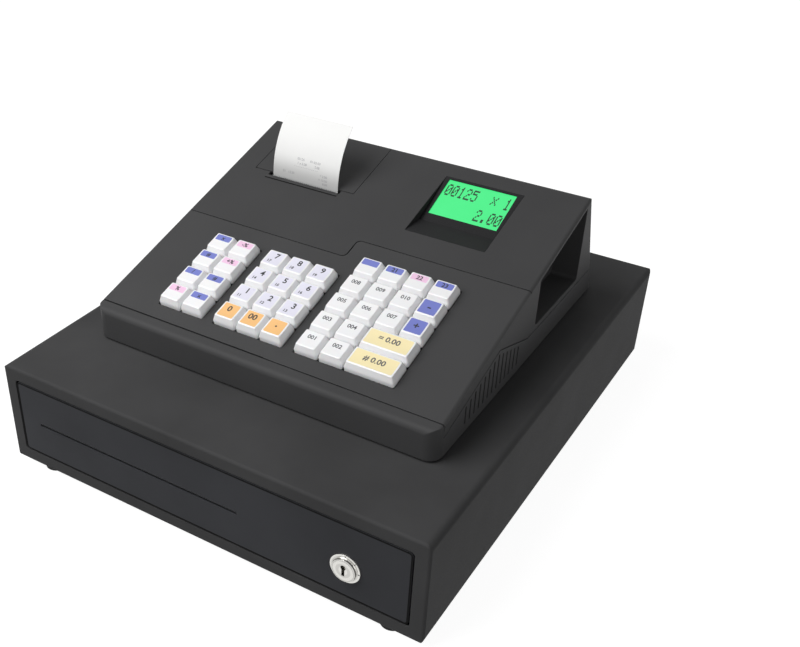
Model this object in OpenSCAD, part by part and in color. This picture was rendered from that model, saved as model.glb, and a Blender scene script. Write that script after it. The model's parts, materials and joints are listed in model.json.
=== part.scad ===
// Electronic till on a steel cash drawer.
// Millimetres. The origin is under the middle of the whole object, on the surface that the feet stand on.
// +Z is up and the operator stands on the -Y side.

/* [Drawer case] */
// Width of the steel case
case_w = 350; // [335:1:400]
// Depth of the steel case
case_d = 405; // [395:1:450]
// Height of the steel case without its feet
case_h = 83.5; // [80:0.5:100]
// Sheet thickness of the case
case_wall = 1.2; // [0.8:0.1:1.6]
// Radius of the case's long upper and lower edges
case_edge_r = 5; // [3:0.5:7]
// Radius of the case's upright rear corners
case_back_r = 6; // [4:0.5:9]
// Radius of the case's front rim
case_rim_r = 2; // [1:0.1:2]
// Width of the border round the drawer front
border_w = 10.4; // [9:0.2:12]
// Corner radius of the opening in the border
opening_r = 3; // [2:0.5:5]
// Height of the rubber feet
foot_h = 6.5; // [5:0.5:10]
// Diameter of the rubber feet
foot_d = 18; // [14:1:22]
// Distance of a front foot's middle from the side of the case
foot_in_x = 28; // [20:1:40]
// Distance of a front foot's middle from the front of the case
foot_in_y = 12; // [12:1:35]
// Distance of a rear foot's middle from the side of the case
rear_foot_x = 14; // [14:1:40]
// Distance of a rear foot's middle from the back of the case
rear_foot_y = 32; // [20:1:45]

/* [Drawer] */
// Gap round the drawer front
front_gap = 1; // [0.6:0.1:1.6]
// Sheet thickness of the drawer front
front_t = 1.5; // [1:0.1:2.5]
// Depth of the folded rim behind the drawer front
front_rim = 12; // [8:1:14]
// Length of the cheque slot
cheque_l = 177.5; // [150:0.5:190]
// Height of the cheque slot
cheque_h = 2; // [1.5:0.1:3]
// Distance of the cheque slot from the left end of the drawer front
cheque_in = 19; // [14:0.5:24]
// Height of the cheque slot over the underside of the case
cheque_up = 39; // [34:0.5:46]
// Room for the latch unit between the tray and the back of the case
latch_room = 58; // [50:0.5:70]
// Height of the tray's sides
tray_h = 46; // [38:1:50]
// Sheet thickness of the tray
tray_wall = 1; // [0.8:0.1:1.5]
// Width that each pair of slides takes up beside the tray
slide_w = 9; // [8:0.5:11]
// Height of the inner slides
slide_h = 20; // [16:1:24]
// Sheet thickness of the slides
slide_t = 1.2; // [1:0.1:1.5]

/* [Lock] */
// Distance of the lock from the right end of the drawer front
lock_in = 46; // [40:0.5:60]
// Height of the lock over the underside of the case
lock_up = 36.4; // [32:0.2:45]
// How far the lock's ring stands out of the drawer front
lock_proud = 3.5; // [2:0.5:6]
// Diameter of the lock's ring
lock_ring_d = 22.5; // [20:0.5:25]
// Diameter of the lock's barrel
lock_barrel_d = 18.6; // [16:0.2:19]
// Diameter of the turning plug
lock_plug_d = 12; // [10:0.5:13]
// Diameter of the plug's face
lock_face_d = 15.6; // [14:0.2:17]
// Length of the barrel behind the drawer front
lock_l = 16; // [12:0.5:17]
// Length of the cam on the back of the plug
cam_l = 17; // [12:0.5:20]

/* [Cash insert] */
// Space for cheques between the drawer front and the insert
well_d = 24; // [23:0.5:30]
// Height of the insert
insert_h = 44; // [36:1:48]
// Wall thickness of the insert
insert_t = 2; // [1.6:0.1:2.6]
// Number of coin cups
coin_n = 5; // [4:1:6]
// Depth of the coin cups, front to back
coin_d = 110; // [90:1:130]
// Radius of the rounded bottom of the coin cups
coin_r = 20; // [12:1:24]
// Length of a note clip's arm
clip_l = 38; // [30:1:40]
// Height of a clip's pivot over the floor of the note bay
clip_up = 20; // [16:1:22]
// Diameter of a clip's barrel
clip_d = 7; // [6:0.5:8]
// Diameter of a clip's pin
clip_pin_d = 3; // [2.4:0.2:3.6]

/* [Register housing] */
// Width of the housing
reg_w = 285.5; // [274:0.5:300]
// Depth of the housing at its base
reg_d = 276.5; // [270:0.5:290]
// Distance of the housing's front behind the front of the case
reg_setback = 66.5; // [40:0.5:80]
// Height of the front edge of the sloping top over the base
nose_h = 24; // [22:0.5:30]
// Slope of the top in degrees
top_slope = 15.5; // [13:0.5:18]
// Lean of the back in degrees
back_lean = 19.4; // [15:0.2:22]
// Wall thickness of the housing
shell_t = 2.5; // [2:0.1:3]
// Height of the pads between the housing and the drawer
pad_h = 1.8; // [1.5:0.1:4]
// Diameter of the pads
pad_d = 12; // [10:1:16]
// Radius of the upright front corners
corner_r = 10; // [7:0.5:14]
// Radius of the rear corners
rear_r = 4; // [3:0.5:10]
// Radius of the long side edges of the top
edge_r = 2.4; // [1.5:0.1:3]
// Radius of the front edge of the top
nose_r = 5; // [3:0.5:7]
// Width of the visible seams
seam_gap = 0.8; // [0.4:0.1:1]
// Length of the lower case's lip before the keyboard panel, along the slope
lip_l = 8.8; // [7:0.2:10]
// Drop of the side seam below the top, measured upright
seam_drop = 11; // [9:0.5:12]
// Peak of the side seam behind the front of the housing
seam_peak = 90; // [80:1:100]
// End of the side seam's fall behind the front of the housing
seam_dip = 142; // [135:1:148]
// Height of the level stretch of the side seam
seam_z = 19.8; // [17:0.2:21]
// Number of vent slots on a side
vent_n = 13; // [8:1:14]
// First vent slot behind the front of the housing
vent_y = 41; // [35:1:50]
// Spacing of the vent slots
vent_pitch = 7; // [6:0.2:7]
// Width of a vent slot
vent_w = 2; // [1.6:0.1:3.2]
// Height of the slots' lower ends over the base
vent_low = 7; // [5:0.5:10]

/* [Keyboard] */
// Spacing of the keys
pitch = 20; // [19:0.1:20.4]
// Width of a key at its foot
key_w = 18.6; // [18:0.1:18.8]
// Width of a key's top
key_top_w = 15; // [13:0.2:16]
// Height of the keys over the panel
key_up = 7.6; // [6:0.2:9]
// Distance that a key travels
key_travel = 2.5; // [2:0.1:3]
// Diameter of a key's stem
stem_d = 6; // [5:0.2:7]
// Gap between the key groups
group_gap = 9; // [8:0.5:10]
// Front of the key groups behind the panel's front seam, along the slope
key_front = 13; // [10:0.5:15]
// Thickness of the panel
panel_t = 2.6; // [2:0.1:3]
// Length of the panel's left part, along the slope
panel_l = 112.2; // [110:0.2:118]
// Extra length of the panel's right part
panel_step = 20; // [15:0.5:24]
// Place of the step in the panel's rear seam
step_x = 3; // [-4:0.5:8]

/* [Display] */
// Middle of the display from the middle of the housing
disp_x = 62.6; // [60:0.2:70]
// Width of the display recess
disp_w = 66; // [62:0.5:70]
// Rear edge of the display recess along the slope
disp_back = 235.6; // [230:0.2:238]
// Length of the recess's floor
disp_l = 48.4; // [46:0.2:50]
// Length of the ramp before the floor
disp_ramp = 21.5; // [15:0.5:24]
// Depth of the recess at the foot of the ramp
disp_depth = 6; // [4:0.5:8]
// Width of the display's pane
pane_w = 59; // [56:0.5:60]
// Length of the display's pane
pane_l = 44; // [40:0.5:45]

/* [Port bay] */
// Front of the port bay behind the front of the housing
bay_y = 153.5; // [150:0.5:160]
// Length of the port bay
bay_l = 82; // [70:1:84]
// Depth of the port bay into the housing
bay_d = 21; // [16:0.5:24]
// Height of the port bay's floor over the base
bay_z = 24.7; // [24:0.1:28]
// Height left between the port bay and the top surface
bay_roof = 3.6; // [3:0.1:6]

/* [Printer] */
// Width of the paper
paper_w = 61.5; // [57:0.5:62]
// Middle of the paper from the middle of the housing
paper_x = -73; // [-76:0.5:-70]
// Diameter of the paper roll
roll_d = 48; // [40:1:48]
// Front edge of the paper slot behind the front of the housing
slot_y = 177.5; // [172:0.5:179.5]
// Left edge of the printer cover
cover_x0 = -122; // [-124:0.5:-118]
// Right edge of the printer cover
cover_x1 = -28; // [-34:0.5:-24]
// Thickness of the printer cover
cover_t = 2.5; // [2:0.1:3]
// Radius of the cover's hinge barrel and of the housing's top rear edge
hinge_r = 4.5; // [4:0.1:5]
// Diameter of the hinge pins
hinge_pin_d = 3; // [2.4:0.2:3.6]
// Diameter of the platen roller
platen_d = 8.6; // [8:0.2:9]
// Diameter of the platen's axle
axle_d = 4; // [3:0.2:5]
// Radius of the paper's curl
curl_r = 60; // [45:1:75]
// Angle of the curl that has come out of the slot
curl_angle = 50; // [35:1:70]

/* [Hidden] */
$fn = 48;
eps = 0.01;
far = 600;
// Thickness at which the paper and other sheets are modelled
sheet_t = 0.3;
// Clearance between parts that move past each other
run_gap = 0.3;
// Clearance between fixed parts that are screwed or clipped together
fit_gap = 0.1;
// Radial clearance of a pin in its hole
pin_gap = 0.08;

// Places of the case
z_case = foot_h;
z_top = z_case + case_h;
y_front = -(case_d - lock_proud) / 2;
y_back = y_front + case_d;
half_w = case_w / 2;
z_floor = z_case + case_wall;
z_roof = z_top - case_wall;

// Opening in the border and the drawer front in it
open_x = half_w - border_w;
open_z0 = z_case + border_w;
open_z1 = z_top - border_w;
front_x = open_x - front_gap;
front_z0 = open_z0 + front_gap;
front_z1 = open_z1 - front_gap;

// Tray and slides
tray_d = case_d - front_t - latch_room;
tray_x = front_x - slide_w;
tray_y0 = y_front + front_t + fit_gap;
tray_y1 = tray_y0 + tray_d;
tray_z0 = front_z0 + front_t + 0.2;
tray_z1 = tray_z0 + tray_h;
slide_z = tray_z0 + tray_h / 2;
slide_y0 = y_front + front_rim + 2;
inner_slide_x = tray_x + slide_w - 2.6;
outer_slide_x = front_x + 0.4;
striker_l = 8;
striker_w = 12;
striker_h = 3;

// Cheque slot and lock
cheque_x = cheque_in - front_x;
lock_x = front_x - lock_in;
lock_z = z_case + lock_up;
lock_hole_r = lock_barrel_d / 2 + 0.2;
nut_af = lock_barrel_d + 7;
nut_t = 4;
cam_t = 2;
cam_w = 9;

// Cash insert
insert_x = tray_x - tray_wall - 0.5;
insert_y0 = y_front + well_d;
insert_y1 = tray_y1 - tray_wall - 0.5;
insert_z0 = tray_z0 + tray_wall;
insert_z1 = insert_z0 + insert_h;
bay_floor_z = insert_z0 + insert_t;
note_n = 4;
note_w = (2 * insert_x - (note_n + 1) * insert_t) / note_n;
coin_w = (2 * insert_x - (coin_n + 1) * insert_t) / coin_n;
note_y0 = insert_y0 + 2 * insert_t + coin_d;
note_y1 = insert_y1 - insert_t;
clip_y = note_y1 - clip_d / 2 - 6;
clip_z = bay_floor_z + clip_up;
clip_w = 22;
ear_t = 2.5;
clip_pin_l = ear_t + run_gap;
tip_r = 2.2;
clip_rest = asin((clip_up - tip_r - run_gap) / clip_l);

// Latch unit
latch_w = 56;
latch_h = 40;
latch_y0 = tray_y1 + 1.5;

// Register housing, in its own frame: y from its front, z from its base
base_z = z_top + pad_h;
base_y = y_front + reg_setback;
half_reg = reg_w / 2;
slope_rise = tan(top_slope);
lean = tan(back_lean);
function top_z(y) = nose_h + slope_rise * y;
// A point that lies v along the slope and h above it
function on_top(v, h = 0) = [v * cos(top_slope) - h * sin(top_slope), nose_h + v * sin(top_slope) + h * cos(top_slope)];
// Outline of the housing from the side, moved inwards by i
function side_outline(i) =
    let (top = nose_h - i / cos(top_slope), back = reg_d - i / cos(back_lean))
    let (peak = (top + slope_rise * back) / (1 + slope_rise * lean))
    [[i, i], [back - lean * i, i], [back - lean * peak, peak], [i, top + slope_rise * i]];
back_edge = side_outline(0)[2];
hinge = round_center(side_outline(0)[1], back_edge, side_outline(0)[3], hinge_r);

// Side seam
lip_end = on_top(lip_l);
seam_start = [lip_end[0] + seam_gap, top_z(lip_end[0]) - seam_drop];
seam_peak_z = top_z(seam_peak) - seam_drop;
function seam_at(y) = y < seam_peak
    ? top_z(y) - seam_drop
    : max(seam_z, seam_peak_z + (seam_z - seam_peak_z) * (y - seam_peak) / (seam_dip - seam_peak));

// Keyboard, in the frame of the slope
panel_v0 = lip_l + seam_gap;
panel_v1 = panel_v0 + panel_l;
panel_v2 = panel_v1 + panel_step;
step_r = 4;
key_v0 = panel_v0 + key_front;
group_cols = [2, 3, 4];
group_rows = [4, 4, 5];
keys_w = 9 * pitch + 2 * group_gap;
group_x = [-keys_w / 2, -keys_w / 2 + 2 * pitch + group_gap, keys_w / 2 - 4 * pitch];
key_foot = -1;
skirt_h = 2.4;
cap_t = 1.4;
well_top = key_foot - key_travel - 1.5;
well_t = 2;
well_wall = 1.6;
collar_l = 3;
stem_low = well_top - well_t - collar_l - 2;
board_h = stem_low - key_travel - 0.8;
board_t = 1.6;

// Display
tilt = atan(disp_depth / disp_l);
disp_front = disp_back - disp_l;
lcd_t = 5;
liner = 2;

// Port bay
main_h = -27;
port_x = half_reg - bay_d;

// Printer
strip_y = slot_y + 3;
cover_y = strip_y + sheet_t + 1;
pocket_v = cover_y / cos(top_slope) - seam_gap;
pocket_d = 2 * hinge_r + 0.4;
platen = [strip_y + sheet_t + run_gap + platen_d / 2, top_z(strip_y) - 7.2];
ear_x = paper_w / 2 + 0.6;
ear_plate = 2;
bin_x = ear_x + ear_plate + 0.6;
bin_r = roll_d / 2 + 2;
roll_y = platen[0] + platen_d / 2 + bin_r + 6.4;
roll_z = top_z(roll_y) - bin_r - 15;
roll_drop = bin_r - roll_d / 2 - run_gap;
shelf_z = platen[1] - platen_d / 2 - 12.8;
head_box_y = slot_y - 20;
head_top = platen[1] - 1;
hinge_v = (hinge - on_top(0)) * [cos(top_slope), sin(top_slope)];
// The paper's way from the roll to the platen: a line that both touch
roll = [roll_y, roll_z - roll_drop];
wrap_r = platen_d / 2 + run_gap;
feed_r = roll_d / 2 + run_gap;
feed_angle = atan2(roll[1] - platen[1], roll[0] - platen[0]) + asin((wrap_r + feed_r + sheet_t) / norm(roll - platen));

// Keys of each group from the front row to the back: node name, column, row, width in columns
left_keys = [for (i = [0 : 7]) [str("function_key_", i + 1), i % 2, floor(i / 2), 1, 0]];
digit_keys = concat(
    [["digit_key_0", 0, 0, 1, 1], ["double_zero_key", 1, 0, 1, 1], ["point_key", 2, 0, 1, 1]],
    [for (i = [1 : 9]) [str("digit_key_", i), (i - 1) % 3, 1 + floor((i - 1) / 3), 1, 1]]);
dept_cells = [[0, 0], [1, 0], [0, 1], [1, 1], [0, 2], [1, 2], [2, 2], [0, 3], [1, 3], [2, 3]];
right_keys = concat(
    [for (i = [0 : 9]) [str("dept_key_", i + 1), dept_cells[i][0], dept_cells[i][1], 1, 2]],
    [["total_key", 2, 0, 2, 2], ["subtotal_key", 2, 1, 2, 2], ["charge_key", 3, 2, 1, 2], ["check_key", 3, 3, 1, 2]],
    [for (i = [0 : 3]) [str("function_key_", i + 9), i, 4, 1, 2]]);
KEYS = concat(left_keys, digit_keys, right_keys);
CLIPS = [for (i = [1 : note_n]) str("bill_clip_", i)];

// ---------- helpers ----------

// Middle of the arc that rounds the corner p between its neighbours a and b
function round_center(a, p, b, r) =
    let (u = (a - p) / norm(a - p), v = (b - p) / norm(b - p), half = acos(u * v) / 2)
    p + (u + v) / norm(u + v) * r / sin(half);
// The two points where that arc begins and ends
function round_ends(a, p, b, r) =
    let (u = (a - p) / norm(a - p), v = (b - p) / norm(b - p), t = r / tan(acos(u * v) / 2))
    r > 0 ? [p + u * t, p + v * t] : [p];
function box_points(x0, y0, x1, y1) = [[x0, y0], [x1, y0], [x1, y1], [x0, y1]];

// A convex outline with a radius at each corner
module rounded(points, radii) {
    n = len(points);
    polygon([for (i = [0 : n - 1]) each round_ends(points[(i + n - 1) % n], points[i], points[(i + 1) % n], radii[i])]);
    for (i = [0 : n - 1])
        if (radii[i] > 0)
            translate(round_center(points[(i + n - 1) % n], points[i], points[(i + 1) % n], radii[i]))
                circle(radii[i]);
}

// An outline drawn as [x, z] and run along y
module along_y(y0, l) {
    translate([0, y0 + l, 0]) rotate([90, 0, 0]) linear_extrude(l) children();
}

// An outline drawn as [y, z] and run along x
module along_x(x0, l) {
    translate([x0, 0, 0]) rotate([90, 0, 90]) linear_extrude(l) children();
}

// An outline drawn as [x, y] and run along z
module along_z(z0, l) {
    translate([0, 0, z0]) linear_extrude(l) children();
}

// A rod along x or y
module rod_x(x0, l, r) {
    translate([x0, 0, 0]) rotate([0, 90, 0]) cylinder(h = l, r = r);
}

module rod_y(y0, l, r) {
    translate([0, y0, 0]) rotate([-90, 0, 0]) cylinder(h = l, r = r);
}

// A box between two corners
module block(a, b) {
    translate(a) cube(b - a);
}

// Both sides of the object
module both_sides() {
    children();
    mirror([1, 0, 0]) children();
}

// The register's own frame, and the frame of its sloping top
module in_register() {
    translate([0, base_y, base_z]) children();
}

module in_slope() {
    translate([0, 0, nose_h]) rotate([top_slope, 0, 0]) children();
}

// ---------- cash drawer ----------

// The case's outer form, moved inwards by i
module case_form(i) {
    long_r = max(case_edge_r - i, 0);
    back_r = max(case_back_r - i, 0);
    rim_r = max(case_rim_r - i, 0);
    x = half_w - i;
    intersection() {
        along_y(y_front, case_d)
            rounded(box_points(-x, z_case + i, x, z_top - i), [long_r, long_r, long_r, long_r]);
        along_z(z_case, case_h)
            rounded(box_points(-x, y_front + i, x, y_back - i), [rim_r, rim_r, back_r, back_r]);
        along_x(-half_w, case_w)
            rounded(box_points(y_front + i, z_case + i, y_back - i, z_top - i), [rim_r, long_r, long_r, rim_r]);
    }
}

// The outer slide of the right side, with the spacers that carry it
module outer_slide() {
    x0 = outer_slide_x - slide_w + 3.4;
    x1 = outer_slide_x + slide_t;
    z0 = slide_z - slide_h / 2 - 0.4;
    z1 = slide_z + slide_h / 2 + 0.4;
    l = tray_d - front_rim;
    along_y(slide_y0, l)
        difference() {
            translate([x0, z0 - slide_t]) square([x1 - x0, z1 - z0 + 2 * slide_t]);
            translate([x0 - 1, z0]) square([outer_slide_x - x0 + 1, z1 - z0]);
        }
    for (at = [0.06, 0.5, 0.94])
        translate([x1 - eps, slide_y0 + at * l - 12, slide_z - slide_h / 4])
            cube([half_w - case_wall - x1 + 0.2, 24, slide_h / 2]);
}

module till_case() {
    color("#33363a") {
        difference() {
            case_form(0);
            case_form(case_wall);
            along_y(y_front - 1, case_wall + 2)
                rounded(box_points(-open_x, open_z0, open_x, open_z1), [opening_r, opening_r, opening_r, opening_r]);
            // outlet for the drawer's cable
            along_y(y_back - case_wall - 1, case_wall + 2)
                translate([half_w - 70, z_case + 14]) square([16, 9]);
        }
        both_sides() outer_slide();
    }
}

module foot(d, h) {
    rotate_extrude() {
        polygon([[0, 0], [d / 2 - 1.6, 0], [d / 2 - 0.6, 1], [d / 2, h], [0, h]]);
    }
}

module rubber_feet() {
    pad_x = half_reg - 20;
    color("#151515") {
        for (at = [[half_w - foot_in_x, y_front + foot_in_y], [half_w - rear_foot_x, y_back - rear_foot_y]])
            both_sides() translate([at[0], at[1], 0]) foot(foot_d, foot_h);
        for (y = [base_y + 20, base_y + reg_d - 20])
            both_sides() translate([pad_x, y, z_top]) cylinder(h = pad_h, d = pad_d);
    }
}

module drawer_tray() {
    color("#8d9094") {
        difference() {
            block([-tray_x, tray_y0, tray_z0], [tray_x, tray_y1, tray_z1]);
            block([-tray_x + tray_wall, tray_y0 - 1, tray_z0 + tray_wall],
                  [tray_x - tray_wall, tray_y1 - tray_wall, tray_z1 + 1]);
        }
        // striker for the latch
        block([-striker_w / 2, tray_y1 - eps, slide_z - striker_h / 2],
              [striker_w / 2, tray_y1 + striker_l, slide_z + striker_h / 2]);
        both_sides() inner_slide();
    }
}

module inner_slide() {
    along_y(slide_y0, tray_d - front_rim - 2)
        difference() {
            translate([tray_x - eps, slide_z - slide_h / 2]) square([inner_slide_x - tray_x, slide_h]);
            translate([tray_x + slide_t, slide_z - slide_h / 2 + slide_t]) square([slide_w, slide_h - 2 * slide_t]);
        }
}

module drawer_front() {
    r = opening_r;
    color("#2e3238")
        difference() {
            along_y(y_front, front_rim)
                rounded(box_points(-front_x, front_z0, front_x, front_z1), [r, r, r, r]);
            along_y(y_front + front_t, front_rim)
                rounded(box_points(-front_x + front_t, front_z0 + front_t, front_x - front_t, front_z1 - front_t),
                        [r - 1, r - 1, r - 1, r - 1]);
            along_y(y_front - 1, front_t + 2)
                translate([cheque_x, z_case + cheque_up]) square([cheque_l, cheque_h]);
            translate([lock_x, 0, lock_z]) rod_y(y_front - 1, front_t + 2, lock_hole_r);
        }
}

// The insert: coin cups with rounded bottoms in front, note bays behind
module cash_insert() {
    color("#26282b") {
        difference() {
            block([-insert_x, insert_y0, insert_z0], [insert_x, insert_y1, insert_z1]);
            for (i = [0 : coin_n - 1])
                along_x(-insert_x + insert_t + i * (coin_w + insert_t), coin_w)
                    coin_cup_outline();
            for (i = [0 : note_n - 1])
                translate([-insert_x + insert_t + i * (note_w + insert_t), note_y0, bay_floor_z])
                    cube([note_w, note_y1 - note_y0, insert_h]);
        }
        for (i = [0 : note_n - 1])
            translate([note_middle(i), 0, 0]) clip_ears();
    }
}

module coin_cup_outline() {
    y0 = insert_y0 + insert_t;
    rounded(box_points(y0, bay_floor_z, y0 + coin_d, insert_z1 + 30), [coin_r, coin_r, 0, 0]);
}

function note_middle(i) = -insert_x + insert_t + note_w / 2 + i * (note_w + insert_t);

// Two ears on the rear wall that hold a clip's pins
module clip_ears() {
    r = clip_pin_d / 2 + 2.4;
    for (x = [-clip_w / 2 - run_gap - ear_t, clip_w / 2 + run_gap])
        difference() {
            along_x(x, ear_t) {
                translate([clip_y, clip_z]) circle(r);
                polygon([[clip_y, clip_z + r], [note_y1 + eps, clip_z + r], [note_y1 + eps, clip_z - r - 6], [clip_y, clip_z - r]]);
            }
            translate([0, clip_y, clip_z]) rod_x(x - 1, ear_t + 2, clip_pin_d / 2 + pin_gap);
        }
}

// A note clip: barrel, pins, arm and the rounded foot that presses on the notes
module bill_clip(i) {
    color("#3a3d42")
        translate([note_middle(i), clip_y, clip_z]) {
            rod_x(-clip_w / 2 - clip_pin_l, clip_w + 2 * clip_pin_l, clip_pin_d / 2);
            along_x(-clip_w / 2, clip_w)
                rotate(clip_rest) {
                    circle(clip_d / 2);
                    translate([-clip_l, -1]) square([clip_l, 2]);
                    translate([-clip_l, 0]) circle(tip_r);
                }
        }
}

module lock_body() {
    r = lock_ring_d / 2;
    color("#d9dadb")
        translate([lock_x, y_front, lock_z])
            difference() {
                union() {
                    rotate([90, 0, 0])
                        rotate_extrude()
                            polygon([[0, 0], [r, 0], [r, lock_proud - 1.4], [r - 0.5, lock_proud - 0.5], [r - 1.4, lock_proud], [0, lock_proud]]);
                    rod_y(-1, front_t + lock_l + 1, lock_barrel_d / 2);
                    translate([0, front_t + fit_gap, 0]) rotate([-90, 0, 0])
                        cylinder(h = nut_t, r = nut_af / 2 / cos(30), $fn = 6);
                }
                rod_y(-lock_proud - 1, lock_l + lock_proud + 10, lock_plug_d / 2 + 0.05);
                rod_y(-lock_proud - 1, 2.6, lock_face_d / 2 + 0.1);
                // index marks on the ring
                for (a = [0, 45, 90])
                    rotate([0, a - 90, 0]) translate([-0.6, -lock_proud - 1, lock_face_d / 2 + 0.8]) cube([1.2, 1.5, 1.6]);
            }
}

module lock_plug() {
    back = front_t + lock_l + 0.4;
    color("#e4e4e2")
        translate([lock_x, y_front, lock_z]) {
            difference() {
                union() {
                    rod_y(-lock_proud, 1.4, lock_face_d / 2);
                    rod_y(-lock_proud + 1, back + lock_proud, lock_plug_d / 2);
                }
                // keyway
                block([-1.1, -lock_proud - 1, -4.2], [1.1, 4, 2.6]);
                translate([0, 0, 2.6]) rod_y(-lock_proud - 1, 5 + lock_proud, 1.9);
            }
            // cam and its screw
            along_y(back, cam_t) {
                circle(cam_w / 2);
                translate([0, -cam_w / 2]) square([cam_l - cam_w / 2, cam_w]);
                translate([cam_l - cam_w / 2, 0]) circle(cam_w / 2);
            }
            rod_y(back, cam_t + 1.6, 3);
        }
}

// The closed solenoid latch behind the tray
module drawer_latch() {
    y1 = y_back - case_wall - case_edge_r;
    z0 = z_floor;
    color("#a3a6a8")
        difference() {
            union() {
                block([-latch_w / 2, latch_y0, z0], [latch_w / 2, y1, z0 + latch_h]);
                block([-latch_w / 2 - 12, latch_y0 + 6, z0], [latch_w / 2 + 12, y1, z0 + 2]);
                translate([latch_w / 2 - 1, 0, z0 + 16]) translate([0, (latch_y0 + y1) / 2, 0]) rod_x(0, 26, 12);
            }
            block([-striker_w / 2 - 1.5, latch_y0 - 1, slide_z - striker_h / 2 - 1.5],
                  [striker_w / 2 + 1.5, latch_y0 + striker_l + 1, slide_z + striker_h / 2 + 1.5]);
        }
}

// ---------- register housing ----------

// The housing's outer form, moved inwards by i
module housing(i) {
    side_r = max(edge_r - i, 0);
    front_r = max(nose_r - i, 0);
    back_r = max(hinge_r - i, 0);
    corner = max(corner_r - i, 0);
    rear_corner = max(rear_r - i, 0);
    x = half_reg - i;
    intersection() {
        along_x(-half_reg, reg_w)
            rounded(side_outline(i), [0, 0, back_r, front_r]);
        along_z(i, 150)
            rounded(box_points(-x, i, x, reg_d + 1), [corner, corner, 0, 0]);
        translate([0, reg_d, 0]) rotate([back_lean, 0, 0])
            along_z(-120, 260)
                rounded(box_points(-x, -far, x, -i), [0, 0, rear_corner, rear_corner]);
        in_slope()
            along_y(-40, 360)
                rounded(box_points(-x, -150, x, -i), [0, 0, side_r, side_r]);
    }
}

module shell() {
    difference() {
        housing(0);
        housing(shell_t);
    }
}

// Side view of everything below the side seam, with the lip at the front
module below_seam(g) {
    polygon([
        [-20, -20], [reg_d + 20, -20], [reg_d + 20, seam_z + g], [seam_dip + g / 2, seam_z + g],
        [seam_peak, seam_peak_z + g], [seam_start[0], seam_start[1] + g], [seam_start[0], seam_start[1] + g],
        lip_end + [g, 0], lip_end + [g - 5, 20], [-20, nose_h + 20]
    ]);
}

module vents() {
    for (i = [0 : vent_n - 1]) {
        y = vent_y + i * vent_pitch;
        block([-far, y - vent_w / 2, vent_low], [far, y + vent_w / 2, seam_at(y) - 3]);
    }
}

module post(x, y, z0, z1, r) {
    translate([x, y, z0]) cylinder(h = z1 - z0, r = r);
}

post_y = [seam_dip + 3, bay_y + bay_l + liner + 5.5];
post_x = half_reg - 12;
post_r = 4;
post_z = seam_z - 1;

module lower_case() {
    color("#303236")
        in_register()
            difference() {
                union() {
                    intersection() {
                        shell();
                        along_x(-half_reg, reg_w) below_seam(0);
                    }
                    for (y = post_y)
                        both_sides() post(post_x, y, shell_t - eps, post_z, post_r);
                }
                vents();
                for (y = post_y)
                    both_sides() post(post_x, y, -1, post_z - 3, 1.7);
            }
}

// Plan of the keyboard panel in the frame of the slope, grown by g
module panel_outline(g) {
    translate([-far, panel_v0 - g]) square([2 * far, panel_l + 2 * g]);
    rounded(box_points(step_x - g, panel_v0, far, panel_v2 + g), [0, 0, 0, step_r + g]);
    difference() {
        translate([step_x - step_r, panel_v1 + g - eps]) square(step_r - g + eps);
        translate([step_x - step_r, panel_v1 + step_r]) circle(step_r - g);
    }
}

// Side view of the paper bin: round below, open to the top and leaning with the back, grown by g
module bin_outline(g) {
    intersection() {
        union() {
            translate([roll_y, roll_z]) circle(bin_r + g);
            translate([roll_y - bin_r - g, roll_z]) square([2 * (bin_r + g), 100]);
        }
        polygon(side_outline(hinge_r - g));
    }
}

// Wedge cut for the display, in the frame of the slope, grown by g
module display_wedge(g) {
    polygon([
        [disp_back + g, 20], [disp_back + g, -g],
        [disp_front, -disp_depth - g], [disp_front - disp_ramp - 1.5 * g, -g], [disp_front - disp_ramp - 1.5 * g, 20]
    ]);
}

// The display's own frame: x across, y up the tilted floor from its foot, z out of it
module in_display() {
    in_slope() translate([disp_x, disp_front, -disp_depth]) rotate([tilt, 0, 0]) children();
}

// Side view of the port bay, grown by g
module bay_outline(g) {
    y0 = bay_y - g;
    y1 = bay_y + bay_l + g;
    drop = bay_roof / cos(top_slope);
    rounded([[y0, bay_z - g], [y1, bay_z - g], [y1, top_z(y1) - drop + g], [y0, top_z(y0) - drop + g]], [3, 3, 0, 0]);
}

// The sockets' outlines on the inner wall of the port bay, along the slope, grown by g
port_v = [bay_y + 12, bay_y + 28, bay_y + 54];
module port_outlines(g) {
    translate([port_v[0], 5]) circle(3.6 + g);
    translate([port_v[1] - 3 - g, 0.4]) square([6 + 2 * g, 13.2 + g]);
    translate([port_v[2] - 9.6 - g, 1]) square([19.2 + 2 * g, 9.6 + g]);
}

// Frame of the main board: its top face is the plane z = 0
module in_board() {
    in_slope() translate([0, 0, main_h]) children();
}

board_v0 = bay_y - 4;
board_v1 = bay_y + bay_l;

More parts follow.
